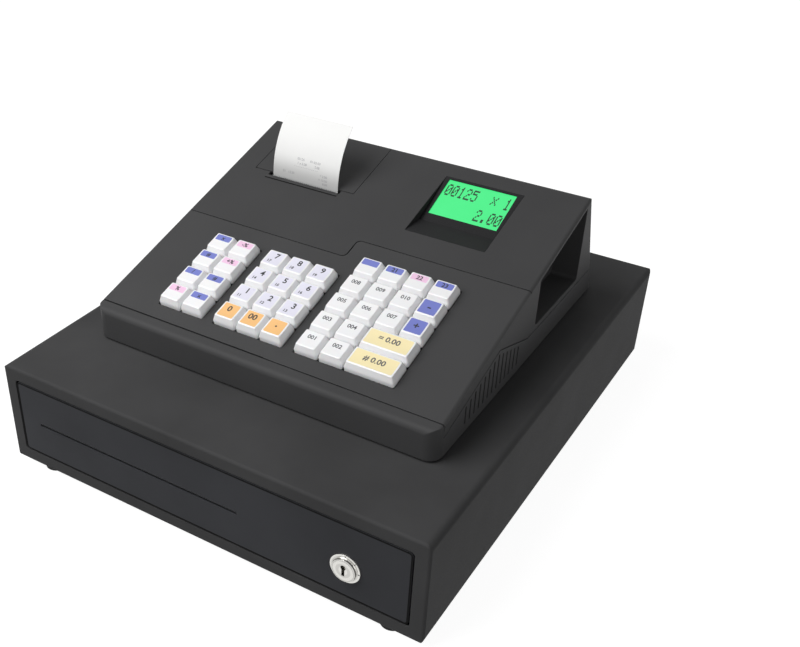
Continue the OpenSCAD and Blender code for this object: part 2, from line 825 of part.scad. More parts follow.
module upper_case() {
    color("#303236")
        in_register()
            difference() {
                union() {
                    intersection() {
                        shell();
                        difference() {
                            block([-far, -far, 0], [far, far, far]);
                            along_x(-half_reg, reg_w) below_seam(seam_gap);
                        }
                    }
                    intersection() {
                        housing(shell_t / 2);
                        union() {
                            display_liner();
                            bay_liner();
                            printer_well();
                            panel_ledges();
                            for (y = post_y)
                                both_sides() post(post_x, y, post_z + fit_gap, 120, post_r);
                            board_posts();
                        }
                    }
                }
                // seat of the keyboard panel
                in_slope() along_z(-panel_t - fit_gap, 60) panel_outline(seam_gap / 2);
                // display recess and the window in its floor
                in_slope() along_x(disp_x - disp_w / 2, disp_w) display_wedge(0);
                in_display() block([-pane_w / 2 - fit_gap, disp_l / 2 - pane_l / 2 - fit_gap, -liner - 3],
                                   [pane_w / 2 + fit_gap, disp_l / 2 + pane_l / 2 + fit_gap, 3]);
                // port bay and the holes for its sockets
                along_x(port_x, bay_d + 10) bay_outline(0);
                in_board() along_x(port_x - liner - 1, liner + 2) port_outlines(0.3);
                printer_cuts();
            }
}

module display_liner() {
    in_slope()
        intersection() {
            along_x(disp_x - disp_w / 2 - liner, disp_w + 2 * liner) display_wedge(liner);
            block([-far, 0, -60], [far, far, -shell_t / 2]);
        }
}

module bay_liner() {
    along_x(port_x - liner, bay_d + liner - shell_t / 2) bay_outline(liner);
}

// Bin, pocket and print head box of the printer
module printer_well() {
    well_w = 2 * (bin_x + liner);
    along_x(paper_x - well_w / 2, well_w) bin_outline(liner);
    block([paper_x - bin_x - liner, head_box_y, shelf_z - liner], [paper_x + bin_x + liner, roll_y - bin_r, 120]);
    in_slope() block([cover_x0 - liner, pocket_v - liner, -pocket_d - liner], [cover_x1 + liner, far, -eps]);
}

module printer_cuts() {
    // pocket under the cover, with the seat of its hinge barrel in the rear edge
    along_x(cover_x0, cover_x1 - cover_x0) {
        polygon([on_top(pocket_v, 20), on_top(pocket_v, -pocket_d), on_top(hinge_v, -pocket_d), on_top(hinge_v, 20)]);
        translate(hinge) circle(hinge_r + run_gap);
    }
    translate([0, hinge[0], hinge[1]])
        rod_x(cover_x0 - liner - 1, cover_x1 - cover_x0 + 2 * liner + 2, hinge_pin_d / 2 + pin_gap);
    // bin, and the paper's slot with the throat between the bin and the print head
    along_x(paper_x - bin_x, 2 * bin_x) bin_outline(0);
    block([paper_x - bin_x, slot_y, shelf_z], [paper_x + bin_x, roll_y, far]);
    // room of the print head under the top
    intersection() {
        in_slope() block([paper_x - bin_x, 0, -60], [paper_x + bin_x, pocket_v, -shell_t - 1]);
        block([-far, head_box_y - 1, shelf_z], [far, far, far]);
    }
}

// Strips on the side walls and under the rear seam that carry the keyboard panel
module panel_ledges() {
    low = -panel_t - fit_gap - 1.8;
    in_slope() {
        both_sides() block([half_reg - shell_t - 2.4, panel_v0 + 2, low], [half_reg - 1, panel_v2 + 2, -panel_t - fit_gap]);
        block([-half_reg + 2, panel_v1 - 4, low], [step_x, panel_v1 + 3, -shell_t + eps]);
        block([step_x, panel_v2 - 4, low], [half_reg - 2, panel_v2 + 3, -shell_t + eps]);
    }
}

board_x0 = -16;
board_x1 = port_x - liner - 0.6;

module board_posts() {
    in_board()
        for (x = [board_x0 + 5, board_x1 - 5], v = [board_v0 + 5, board_v1 + 9])
            post(x, v, fit_gap, 60, 3);
}

// ---------- keyboard ----------

module key_panel() {
    color("#3c3e42")
        in_register()
            difference() {
                union() {
                    intersection() {
                        housing(0);
                        in_slope() along_z(-panel_t, panel_t + 1) panel_outline(-seam_gap / 2);
                    }
                    in_slope() {
                        for (g = [0 : 2])
                            key_well(g);
                        for (x = [group_x[1] - group_gap / 2, group_x[2] - group_gap / 2], v = [key_v0 + 4, key_v0 + 4 * pitch - 4])
                            post(x, v, board_h + fit_gap, -panel_t + eps, 2.5);
                    }
                }
                in_slope()
                    for (g = [0 : 2])
                        key_window(g);
            }
}

// Floor and walls below a window, with a guide collar for each stem
module key_well(g) {
    w = group_cols[g] * pitch;
    l = group_rows[g] * pitch;
    low = well_top - well_t;
    translate([group_x[g], key_v0, 0]) {
        block([-well_wall, -well_wall, low], [w + well_wall, l + well_wall, -panel_t + eps]);
        for (c = [0 : group_cols[g] - 1], r = [0 : group_rows[g] - 1])
            post((c + 0.5) * pitch, (r + 0.5) * pitch, low - collar_l, low + eps, stem_d / 2 + 1.7);
    }
}

module key_window(g) {
    w = group_cols[g] * pitch;
    l = group_rows[g] * pitch;
    translate([group_x[g], key_v0, 0]) {
        block([0, 0, well_top], [w, l, 10]);
        for (c = [0 : group_cols[g] - 1], r = [0 : group_rows[g] - 1])
            post((c + 0.5) * pitch, (r + 0.5) * pitch, well_top - well_t - collar_l - 1, 10, stem_d / 2 + run_gap);
    }
}

// Half of a key's outline at its foot, its shoulder and its top, made narrower by t
function cap_points(w, t) =
    let (foot_w = w / 2 - t, top_w = w / 2 - (key_w - key_top_w) / 2 - t)
    [[-foot_w, key_foot - (t > 0 ? 1 : 0)], [foot_w, key_foot - (t > 0 ? 1 : 0)], [foot_w, skirt_h - t / 2],
     [top_w, key_up - t], [-top_w, key_up - t], [-foot_w, skirt_h - t / 2]];

// The cap of a key n columns wide: a straight skirt, a tapered crown
module cap(n, t) {
    w = (n - 1) * pitch + key_w;
    intersection() {
        along_y(-key_w / 2, key_w) polygon(cap_points(w, t));
        along_x(-w / 2, w) polygon(cap_points(key_w, t));
        if (t == 0)
            along_z(key_foot - 2, key_up + 4) rounded(box_points(-w / 2, -key_w / 2, w / 2, key_w / 2), [1.4, 1.4, 1.4, 1.4]);
    }
}

dish_r = 70;
dish = 0.35;

module key(k) {
    n = k[3];
    g = k[4];
    x = group_x[g] + (k[1] + n / 2) * pitch;
    v = key_v0 + (k[2] + 0.5) * pitch;
    color("#f2f2f0")
        in_register() in_slope() translate([x, v, 0]) {
            difference() {
                cap(n, 0);
                cap(n, cap_t);
                translate([0, 0, key_up + dish_r - dish]) rod_x(-far, 2 * far, dish_r, $fn = 240);
            }
            for (i = [0 : n - 1])
                post((i - (n - 1) / 2) * pitch, 0, stem_low, key_up - cap_t + 0.4, stem_d / 2);
        }
}

// ---------- display, boards and printer ----------

module lcd_display() {
    mid = disp_l / 2;
    back = -shell_t - fit_gap;
    color("#5fe39a")
        in_register() in_display() {
            block([-pane_w / 2, mid - pane_l / 2, back - eps], [pane_w / 2, mid + pane_l / 2, -0.4]);
            block([-disp_w / 2 + 1, mid - pane_l / 2 - 2, back - lcd_t], [disp_w / 2 - 1, mid + pane_l / 2 + 2, back]);
        }
}

module circuit_boards() {
    reach = port_x - 0.6;
    color("#2f6b4a")
        in_register() {
            // main board with its sockets in the port bay
            in_board() {
                block([board_x0, board_v0, -board_t], [board_x1, board_v1 + 14, 0]);
                translate([0, port_v[0], 5]) rod_x(board_x1 - 12, port_x - board_x1 + 12, 3.6);
                block([board_x1 - 12, port_v[0] - 4, -eps], [board_x1 - 1, port_v[0] + 4, 9]);
                block([board_x1 - 14, port_v[1] - 3, -eps], [board_x1 - 4, port_v[1] + 3, 13.4]);
                difference() {
                    block([board_x1 - 5, port_v[1] - 3, 0.7], [port_x + 0.4, port_v[1] + 3, 13.6]);
                    block([board_x1 - 3, port_v[1] - 2.4, 1.3], [port_x + 1, port_v[1] + 2.4, 13]);
                }
                block([board_x1 - 12, port_v[2] - 15, -eps], [board_x1 - 1, port_v[2] + 15, 11.4]);
                block([board_x1 - 2, port_v[2] - 9.6, 1], [port_x + 3, port_v[2] + 9.6, 10.6]);
            }
            // key board
            in_slope() block([group_x[0] - 4, key_v0 - 4, board_h - board_t], [-group_x[0] + 4, key_v0 + 5 * pitch + 4, board_h]);
        }
}

// Cover over the paper bin, with the ears that carry the platen roller
module printer_cover() {
    x0 = cover_x0 + seam_gap / 2;
    l = cover_x1 - cover_x0 - seam_gap;
    v0 = cover_y / cos(top_slope);
    color("#313337")
        in_register() {
            along_x(x0, l) {
                polygon([on_top(v0), on_top(v0, -cover_t), on_top(hinge_v, -cover_t), on_top(hinge_v)]);
                translate(hinge) circle(hinge_r);
            }
            translate([0, hinge[0], hinge[1]])
                rod_x(cover_x0 - liner + 0.2, cover_x1 - cover_x0 + 2 * liner - 0.4, hinge_pin_d / 2);
            for (x = [paper_x - ear_x - ear_plate, paper_x + ear_x])
                difference() {
                    along_x(x, ear_plate) {
                        translate(platen) circle(3.6);
                        polygon([platen + [-3.4, 0.8], platen + [2.4, -2.4], on_top(v0 + 24, -cover_t + eps), on_top(v0 + 2.4, -cover_t + eps)]);
                    }
                    translate([0, platen[0], platen[1]]) rod_x(x - 1, ear_plate + 2, axle_d / 2 + pin_gap);
                }
        }
}

module platen_roller() {
    color("#1c1c1e")
        in_register()
            translate([paper_x, platen[0], platen[1]]) {
                rod_x(-paper_w / 2, paper_w, platen_d / 2);
                rod_x(-ear_x - ear_plate, 2 * (ear_x + ear_plate), axle_d / 2);
            }
}

module printer_frame() {
    head_y = strip_y - run_gap;
    w = bin_x - 0.4;
    tear_y = slot_y + fit_gap;
    teeth = 30;
    tooth = paper_w / teeth;
    color("#7d8084")
        in_register() translate([paper_x, 0, 0]) {
            // chassis on its shelf
            block([-w, slot_y - 14, shelf_z + fit_gap], [w, platen[0] + platen_d / 2 + 2, shelf_z + 3]);
            // print head and its heat sink
            block([-paper_w / 2 - 1, head_y - 8, shelf_z + 2.9], [paper_w / 2 + 1, head_y, head_top]);
            // motor
            translate([0, slot_y - 5.4, shelf_z + 8]) rod_x(-w + 2, 18, 6);
            // tear bar with its teeth
            along_y(tear_y, 0.6)
                polygon(concat([[-paper_w / 2, shelf_z + 3], [paper_w / 2, shelf_z + 3]],
                               [for (i = [0 : 2 * teeth]) [paper_w / 2 - i * tooth / 2, top_z(slot_y) + (i % 2 == 0 ? -0.6 : 0.6)]]));
        }
}

module paper_roll() {
    color("#f4f3ef")
        in_register()
            translate([paper_x, roll[0], roll[1]])
                difference() {
                    rod_x(-paper_w / 2, paper_w, roll_d / 2);
                    rod_x(-paper_w / 2 - 1, paper_w + 2, 6.2);
                }
}

// Points along one face of the paper, o out from its inner face: off the roll, round the platen, up and curling back
function paper_face(o) = let (
    tail = roll + (feed_r + sheet_t - o) * [-sin(feed_angle), cos(feed_angle)],
    bend = [for (i = [0 : 12]) platen + (wrap_r + o) * turn(270 + feed_angle - i * (90 + feed_angle) / 12)],
    middle = [strip_y + curl_r, top_z(strip_y) + 0.2],
    curl = [for (i = [0 : 24]) middle + (curl_r - sheet_t + o) * turn(180 - i * curl_angle / 24)])
    concat([tail], bend, curl);
function turn(a) = [cos(a), sin(a)];
function backwards(p) = [for (i = [len(p) - 1 : -1 : 0]) p[i]];

module paper_strip() {
    color("#fbfbf9")
        in_register()
            along_x(paper_x - paper_w / 2, paper_w)
                polygon(concat(paper_face(sheet_t), backwards(paper_face(0))));
}

till_case();
rubber_feet();
drawer_tray();
drawer_front();
cash_insert();
lock_body();
lock_plug();
drawer_latch();
lower_case();
upper_case();
key_panel();
printer_cover();
printer_frame();
platen_roller();
paper_roll();
paper_strip();
lcd_display();
circuit_boards();
for (i = [0 : note_n - 1])
    bill_clip(i);
for (k = KEYS)
    key(k);
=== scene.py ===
# Electronic till on a steel cash drawer: finishes, key legends, display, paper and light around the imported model.
import json
import math

import bmesh
import bpy
from mathutils import Matrix, Vector


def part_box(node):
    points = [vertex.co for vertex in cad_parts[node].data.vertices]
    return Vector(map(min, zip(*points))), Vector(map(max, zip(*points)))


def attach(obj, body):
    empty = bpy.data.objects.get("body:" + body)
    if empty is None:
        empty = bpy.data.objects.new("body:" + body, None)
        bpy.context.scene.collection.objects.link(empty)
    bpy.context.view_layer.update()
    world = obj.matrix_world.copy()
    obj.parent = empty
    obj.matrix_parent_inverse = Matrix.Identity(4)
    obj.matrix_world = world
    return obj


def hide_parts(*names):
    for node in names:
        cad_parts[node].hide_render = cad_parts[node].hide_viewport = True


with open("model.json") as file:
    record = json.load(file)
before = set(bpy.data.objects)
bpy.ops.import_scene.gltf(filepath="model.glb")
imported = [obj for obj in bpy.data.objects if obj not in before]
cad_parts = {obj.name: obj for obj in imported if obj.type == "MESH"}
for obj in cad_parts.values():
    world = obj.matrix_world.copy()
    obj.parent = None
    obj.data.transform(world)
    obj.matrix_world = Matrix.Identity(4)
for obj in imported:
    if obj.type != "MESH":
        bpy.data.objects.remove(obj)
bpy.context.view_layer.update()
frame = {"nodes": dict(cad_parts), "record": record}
scene = bpy.context.scene
scene.view_settings.view_transform = "Standard"
print("model loaded:", len(frame["nodes"]), "nodes")

mm = 0.001
topSlope = math.radians(15.5)                      # slope of the register's top
displaySlope = topSlope + math.atan(6 / 48.4)      # the recess's floor leans 6 in 48.4 more


cameraView = {
    "sensor": 36,
    "lens": 48.84,
    "shift": (0.1203, 0.0473),
    "clip": (0.01, 100),
    "place": (0.36290, -0.63381, 0.53195),
    "azimuth": 32.673,           # degrees, as the two below
    "elevation": 33.787,
    "roll": 0.36,
}


def makeCamera(values):
    data = bpy.data.cameras.new("shopCamera")
    data.sensor_width = values["sensor"]
    data.lens = values["lens"]
    data.shift_x, data.shift_y = values["shift"]
    data.clip_start, data.clip_end = values["clip"]
    camera = bpy.data.objects.new("shopCamera", data)
    scene.collection.objects.link(camera)
    azimuth, elevation, roll = (math.radians(values[k]) for k in ("azimuth", "elevation", "roll"))
    level = math.cos(elevation)
    back = Vector((math.sin(azimuth) * level, -math.cos(azimuth) * level, math.sin(elevation)))
    right = Vector((0, 0, 1)).cross(back).normalized()
    up = back.cross(right)
    tiltedRight = math.cos(roll) * right + math.sin(roll) * up
    tiltedUp = math.cos(roll) * up - math.sin(roll) * right
    turned = Matrix((tiltedRight, tiltedUp, back)).transposed().to_4x4()
    camera.matrix_world = Matrix.Translation(values["place"]) @ turned
    scene.camera = camera


makeCamera(cameraView)
print("camera set")


surface = {
    "noiseSpan": (0.3, 0.7),         # most noise values lie between these
    "coat": {"patches": 14, "roughness": (-0.06, 0.06), "bump": 0.35},
    "plastic": {"patches": 60, "roughness": (-0.03, 0.04), "coat": 0.25, "coatRoughness": 0.06, "depth": 0.002},
    "metal": {"roughness": (-0.05, 0.08), "bump": 0.2, "ringBump": 0.35, "ringDepth": 0.00003},
    "fineScale": 400,                # noise on ink and turned metal
}


def shaderOf(finish):
    return finish.node_tree.nodes["Principled BSDF"]


def setInputs(node, values):
    for socket, value in values.items():
        node.inputs[socket].default_value = value


def link(finish, source, output, target, socket):
    finish.node_tree.links.new(source.outputs[output], target.inputs[socket])


def newFinish(name, color, roughness, metallic=0.0, coat=0.0, coatRoughness=0.1, specular=0.5):
    finish = bpy.data.materials.new(name)
    finish.use_nodes = True
    setInputs(shaderOf(finish), {
        "Base Color": (*color, 1),
        "Roughness": roughness,
        "Metallic": metallic,
        "Coat Weight": coat,
        "Coat Roughness": coatRoughness,
        "Specular IOR Level": specular,
    })
    finish.diffuse_color = (*color, 1)
    return finish


def objectNoise(finish, scale, detail=3.0, stretch=(1, 1, 1)):
    nodes = finish.node_tree.nodes
    place = nodes.new("ShaderNodeTexCoord")
    mapping = nodes.new("ShaderNodeMapping")
    noise = nodes.new("ShaderNodeTexNoise")
    setInputs(mapping, {"Scale": stretch})
    setInputs(noise, {"Scale": scale, "Detail": detail})
    link(finish, place, "Object", mapping, "Vector")
    link(finish, mapping, "Vector", noise, "Vector")
    return noise


def varyColor(finish, noise, dark, light):
    ramp = finish.node_tree.nodes.new("ShaderNodeValToRGB")
    for element, position, color in zip(ramp.color_ramp.elements, surface["noiseSpan"], (dark, light)):
        element.position = position
        element.color = (*color, 1)
    link(finish, noise, "Fac", ramp, "Fac")
    link(finish, ramp, "Color", shaderOf(finish), "Base Color")


def varyRoughness(finish, noise, middle, reach):
    low, high = surface["noiseSpan"]
    spread = finish.node_tree.nodes.new("ShaderNodeMapRange")
    setInputs(spread, {"From Min": low, "From Max": high, "To Min": middle + reach[0], "To Max": middle + reach[1]})
    link(finish, noise, "Fac", spread, "Value")
    link(finish, spread, "Result", shaderOf(finish), "Roughness")


def addBump(finish, noise, strength, distance, edge=0.0):
    # grain, on edges that look rounded by the radius edge
    bump = finish.node_tree.nodes.new("ShaderNodeBump")
    if edge:
        soft = finish.node_tree.nodes.new("ShaderNodeBevel")
        soft.samples = 4
        setInputs(soft, {"Radius": edge})
        link(finish, soft, "Normal", bump, "Normal")
    setInputs(bump, {"Strength": strength, "Distance": distance})
    link(finish, noise, "Fac", bump, "Height")
    link(finish, bump, "Normal", shaderOf(finish), "Normal")


def scaled(color, factor):
    return tuple(min(c * factor, 1) for c in color)


def texturedCoat(name, color, roughness, grain, depth, spread=0.12, specular=0.2, edge=0.0):
    # powder coats and spark-eroded plastics differ in colour, grain and depth only
    look = surface["coat"]
    finish = newFinish(name, color, roughness, specular=specular)
    varyColor(finish, objectNoise(finish, look["patches"]), scaled(color, 1 - spread), scaled(color, 1 + spread))
    fine = objectNoise(finish, grain, 2)
    varyRoughness(finish, fine, roughness, look["roughness"])
    addBump(finish, fine, look["bump"], depth, edge)
    return finish


def glossyPlastic(name, color, roughness=0.16, subsurface=0.0):
    look = surface["plastic"]
    finish = newFinish(name, color, roughness, coat=look["coat"], coatRoughness=look["coatRoughness"])
    soft = objectNoise(finish, look["patches"])
    varyColor(finish, soft, scaled(color, 0.97), color)
    varyRoughness(finish, soft, roughness, look["roughness"])
    setInputs(shaderOf(finish), {"Subsurface Weight": subsurface, "Subsurface Scale": look["depth"]})
    return finish


def platedMetal(name, color, roughness, stretch, grain=300, depth=0.00002):
    look = surface["metal"]
    finish = newFinish(name, color, roughness, metallic=1.0)
    lines = objectNoise(finish, grain, 4, stretch)
    varyColor(finish, lines, scaled(color, 0.88), color)
    varyRoughness(finish, lines, roughness, look["roughness"])
    addBump(finish, lines, look["bump"], depth)
    return finish


def turnedMetal(name, color, roughness, centre, ringScale):
    # bright metal with fine rings from the lathe round an axis along Y
    look = surface["metal"]
    finish = newFinish(name, color, roughness, metallic=1.0)
    nodes = finish.node_tree.nodes
    place = nodes.new("ShaderNodeTexCoord")
    mapping = nodes.new("ShaderNodeMapping")
    setInputs(mapping, {"Location": [-v for v in centre]})
    rings = nodes.new("ShaderNodeTexWave")
    rings.wave_type = "RINGS"
    rings.rings_direction = "Y"
    setInputs(rings, {"Scale": ringScale, "Distortion": 0.6, "Detail": 1.0})
    link(finish, place, "Object", mapping, "Vector")
    link(finish, mapping, "Vector", rings, "Vector")
    varyColor(finish, rings, scaled(color, 0.8), color)
    varyRoughness(finish, objectNoise(finish, surface["fineScale"]), roughness, look["roughness"])
    addBump(finish, rings, look["ringBump"], look["ringDepth"])
    return finish


def inkFinish(name, color, roughness=0.5, specular=0.5):
    finish = newFinish(name, color, roughness, specular=specular)
    varyColor(finish, objectNoise(finish, surface["fineScale"]), scaled(color, 0.85), scaled(color, 1.1))
    return finish


def darkenAlong(finish, axis, low, high, factor):
    # multiplies the colour from factor to 1 between two places along one object axis
    nodes = finish.node_tree.nodes
    place = nodes.new("ShaderNodeTexCoord")
    split = nodes.new("ShaderNodeSeparateXYZ")
    spread = nodes.new("ShaderNodeMapRange")
    spread.interpolation_type = "SMOOTHSTEP"
    setInputs(spread, {"From Min": low, "From Max": high, "To Min": factor, "To Max": 1.0})
    tint = nodes.new("ShaderNodeVectorMath")
    tint.operation = "SCALE"
    before = shaderOf(finish).inputs["Base Color"].links[0].from_socket
    link(finish, place, "Object", split, "Vector")
    link(finish, split, axis, spread, "Value")
    finish.node_tree.links.new(before, tint.inputs[0])
    link(finish, spread, "Result", tint, "Scale")
    link(finish, tint, "Vector", shaderOf(finish), "Base Color")


joints = frame["record"]["behaviour"]["joints"]
lockAxis = Vector(next(j["pos_m"] for j in joints if j["name"] == "lock_turn"))
finishes = {
    "case_steel": texturedCoat(
        "caseSteel", (0.056, 0.056, 0.057), 0.50, 1500, 0.00008, specular=0.015, edge=0.0012),
    "front_steel": texturedCoat(
        "frontSteel", (0.036, 0.037, 0.041), 0.50, 1800, 0.00004, specular=0.06, edge=0.0014),
    "housing_plastic": texturedCoat(
        "housingPlastic", (0.046, 0.046, 0.047), 0.54, 2200, 0.00004, 0.06, specular=0.12, edge=0.0008),
    "panel_plastic": texturedCoat(
        "panelPlastic", (0.047, 0.047, 0.048), 0.50, 2200, 0.00004, 0.06, specular=0.14, edge=0.0008),
    "insert_plastic": texturedCoat("insertPlastic", (0.038, 0.039, 0.041), 0.55, 1600, 0.00006),
    "clip_plastic": texturedCoat("clipPlastic", (0.060, 0.062, 0.066), 0.45, 1600, 0.00003),
    "black_rubber": texturedCoat("blackRubber", (0.016, 0.016, 0.016), 0.75, 900, 0.0001),
    "zinc_steel": platedMetal("zincSteel", (0.55, 0.56, 0.57), 0.34, (1, 12, 12)),
    "printer_steel": platedMetal("printerSteel", (0.42, 0.43, 0.44), 0.32, (12, 1, 12)),
    "lock_chrome": turnedMetal("lockChrome", (0.66, 0.65, 0.62), 0.20, lockAxis, 71.43),
    "key_white": glossyPlastic("keyWhite", (0.88, 0.88, 0.89), 0.15, 0.05),
    "key_orange": glossyPlastic("keyOrange", (0.90, 0.52, 0.20)),
    "key_yellow": glossyPlastic("keyYellow", (0.90, 0.79, 0.44)),
    "key_blue": glossyPlastic("keyBlue", (0.17, 0.20, 0.55)),
    "paper": texturedCoat("thermalPaper", (0.84, 0.84, 0.83), 0.60, 700, 0.00003, 0.02),
    "board_green": texturedCoat("boardGreen", (0.03, 0.17, 0.08), 0.35, 500, 0.00005),
    "lcd_green": texturedCoat("displayBezel", (0.012, 0.014, 0.013), 0.30, 900, 0.00001),
}
slotOf = {row["node"]: row["material_slot"] for row in frame["record"]["subparts"]}
for nodeName, slotName in slotOf.items():
    node = frame["nodes"][nodeName]
    node.data.materials.clear()
    node.data.materials.append(finishes[slotName])
print("finishes set:", len(finishes))


def slopeFrame(angle):
    return Matrix.Rotation(angle, 4, "X")


def turnedPoints(node, angle):
    # a node's vertices along axes that lean with the slope
    back = slopeFrame(angle).inverted()
    return [back @ v.co for v in frame["nodes"][node].data.vertices]


def pointBox(points):
    return Vector(min(p[i] for p in points) for i in range(3)), Vector(max(p[i] for p in points) for i in range(3))


def turnedBox(node, angle):
    return pointBox(turnedPoints(node, angle))


def newPiece(name, mesh, body, slot, *materials, replaced=()):
    piece = bpy.data.objects.new(name, mesh)
    scene.collection.objects.link(piece)
    for material in materials:
        mesh.materials.append(material)
    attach(piece, body)
    if replaced:
        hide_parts(*replaced)


def meshOf(bm, name):
    mesh = bpy.data.meshes.new(name)
    bm.to_mesh(mesh)
    bm.free()
    return mesh


def meshFrom(build, name, smoothAngle=None):
    bm = bmesh.new()
    build(bm)
    bmesh.ops.recalc_face_normals(bm, faces=bm.faces)
    mesh = meshOf(bm, name)
    if smoothAngle is not None:
        mesh.shade_smooth()
        mesh.set_sharp_from_angle(angle=math.radians(smoothAngle))
    return mesh


def finalMesh(holder):
    # the evaluated shape of a helper object, which is then removed
    scene.collection.objects.link(holder)
    bpy.context.view_layer.update()
    mesh = bpy.data.meshes.new_from_object(holder.evaluated_get(bpy.context.evaluated_depsgraph_get()))
    bpy.data.objects.remove(holder)
    return mesh


def textMesh(text, size, thickness, weight=0.0):
    # flat text as a thin closed mesh, centred on its own middle; weight fattens its strokes
    curve = bpy.data.curves.new("legend", "FONT")
    curve.body = text
    curve.size = size / mm           # made large and then shrunk, for clean strokes
    curve.offset = weight * size / mm
    curve.align_x = "CENTER"
    curve.align_y = "CENTER"
    curve.resolution_u = 3
    curve.extrude = thickness / mm / 2
    mesh = finalMesh(bpy.data.objects.new("legend", curve))
    bpy.data.curves.remove(curve)
    mesh.transform(Matrix.Scale(mm, 4))
    return mesh


def addInk(bm, text, size, thickness, place, weight=0.0):
    # puts a text into bm, with each of its points where place says
    ink = textMesh(text, size, thickness, weight)
    for v in ink.vertices:
        v.co = place(v.co)
    bm.from_mesh(ink)
    bpy.data.meshes.remove(ink)


keyShape = {
    "pitch": 20 * mm,
    "footWidth": 18.6 * mm,
    "topWidth": 15 * mm,
    "skirt": 2.4 * mm,           # straight part over the panel
    "skirtEdge": (0.3 * mm, 0.15 * mm, 0.05 * mm),   # soft edge over the skirt: below, above, inwards
    "flankSteps": (0.35, 0.7),
    "foot": -1 * mm,             # below the panel's face
    "cornerRadius": 1.4 * mm,
    "cornerTaper": 0.25,         # loss of corner radius per inset
    "leastRadius": 0.4 * mm,
    "topRounding": 1.0 * mm,
    "roundingLead": 0.35 * mm,   # the rounding starts this much outside the top
    "dish": 0.35 * mm,
    "dishRadius": 70 * mm,
    "stemRadius": 3 * mm,
    "stemOverlap": 0.2 * mm,
    "cardMargin": 1.0 * mm,
    "cardRadius": 0.9 * mm,
    "cardSink": 0.02 * mm,
    "cardThickness": 0.06 * mm,
    "halfCardFront": 0.9 * mm,   # front edge of a card that covers the rear half only
    "inkThickness": 0.05 * mm,
    "inkLift": 0.01 * mm,        # over a key without a card
    "inkWeight": 0.022,
    "smoothAngle": 35,
}
panelTop = turnedBox("key_panel", topSlope)[1].z


def sideRows(halfX, halfY, radius, steps=4, sidePoints=5):
    # right half of a rounded rectangle, from its front to its back
    rows = []
    for middleY, start in ((radius - halfY, 270), (halfY - radius, 0)):
        for i in range(steps + 1):
            a = math.radians(start + 90 * i / steps)
            rows.append((halfX - radius + radius * math.cos(a), middleY + radius * math.sin(a)))
        if start == 270:
            straight = 2 * (halfY - radius)
            rows += [(halfX, radius - halfY + straight * (i + 1) / (sidePoints + 1)) for i in range(sidePoints)]
    return rows


def wholeOutline(rows):
    return [(x, y) for x, y in rows] + [(-x, y) for x, y in reversed(rows)]


def outlineLoop(bm, rows, height, centre=(0, 0)):
    cx, cy = centre
    return [bm.verts.new((cx + x, cy + y, height(cy + y))) for x, y in wholeOutline(rows)]


def joinLoops(bm, low, high):
    n = len(low)
    for i in range(n):
        bm.faces.new((low[i], low[(i + 1) % n], high[(i + 1) % n], high[i]))


def joinRound(bm, loops):
    # joins each loop to the next and the last to the first
    for a, b in zip(loops, loops[1:] + loops[:1]):
        joinLoops(bm, a, b)


def fillLoop(bm, loop, upwards=True):
    # strips across the loop, so that the face keeps the dish's curve
    half = len(loop) // 2
    for i in range(half - 1):
        strip = (loop[i], loop[i + 1], loop[-i - 2], loop[-i - 1])
        bm.faces.new(strip if upwards else tuple(reversed(strip)))


def dishHeight(y, top):
    return top - keyShape["dish"] + y * y / (2 * keyShape["dishRadius"])


def keyLevels(inset, top):
    # (inset, height) of each outline from the foot to the end of the top's rounding
    shape = keyShape
    skirt, rounding = shape["skirt"], shape["topRounding"]
    under, over, inwards = shape["skirtEdge"]
    levels = [(0, shape["foot"]), (0, skirt - under), (inwards, skirt + over)]
    levels += [(inset * t, skirt + (top - skirt) * t) for t in shape["flankSteps"]]
    for i in range(5):
        a = math.radians(18 * i)
        inwards = inset - shape["roundingLead"] + rounding * (1 - math.cos(a))
        levels.append((inwards, top - rounding + rounding * math.sin(a)))
    return levels


def keyCap(bm, halfWidth, top, stemLow, stems):
    # rounded rectangles from the foot up to the dished top, closed, with the stems below
    shape = keyShape
    inset = (shape["footWidth"] - shape["topWidth"]) / 2
    halfDepth = shape["footWidth"] / 2
    below = None
    for insetNow, level in keyLevels(inset, top):
        radius = max(shape["cornerRadius"] - insetNow * shape["cornerTaper"], shape["leastRadius"])
        rows = sideRows(halfWidth - insetNow, halfDepth - insetNow, radius)
        loop = outlineLoop(bm, rows, lambda y: min(level, dishHeight(y, top)))
        if below:
            joinLoops(bm, below, loop)
        else:
            fillLoop(bm, loop, upwards=False)
        below = loop
    rounding = shape["topRounding"]
    rows = sideRows(halfWidth - inset - rounding, halfDepth - inset - rounding, shape["leastRadius"])
    topLoop = outlineLoop(bm, rows, lambda y: dishHeight(y, top))
    joinLoops(bm, below, topLoop)
    fillLoop(bm, topLoop)
    length, radius = shape["foot"] + shape["stemOverlap"] - stemLow, shape["stemRadius"]
    for x in stems:
        made = bmesh.ops.create_cone(bm, cap_ends=True, segments=20, radius1=radius, radius2=radius, depth=length)
        bmesh.ops.translate(bm, vec=(x, 0, stemLow + length / 2), verts=made["verts"])


def cardPlate(bm, halfWidth, front, rear, top):
    # thin rounded card that follows the dish
    shape = keyShape
    rows = sideRows(halfWidth, (rear - front) / 2, shape["cardRadius"], 3, 6)
    centre = (0, (front + rear) / 2)
    lower = outlineLoop(bm, rows, lambda y: dishHeight(y, top) - shape["cardSink"], centre)
    upper = outlineLoop(bm, rows, lambda y: dishHeight(y, top) + shape["cardThickness"], centre)
    fillLoop(bm, lower, upwards=False)
    joinLoops(bm, lower, upper)
    fillLoop(bm, upper)


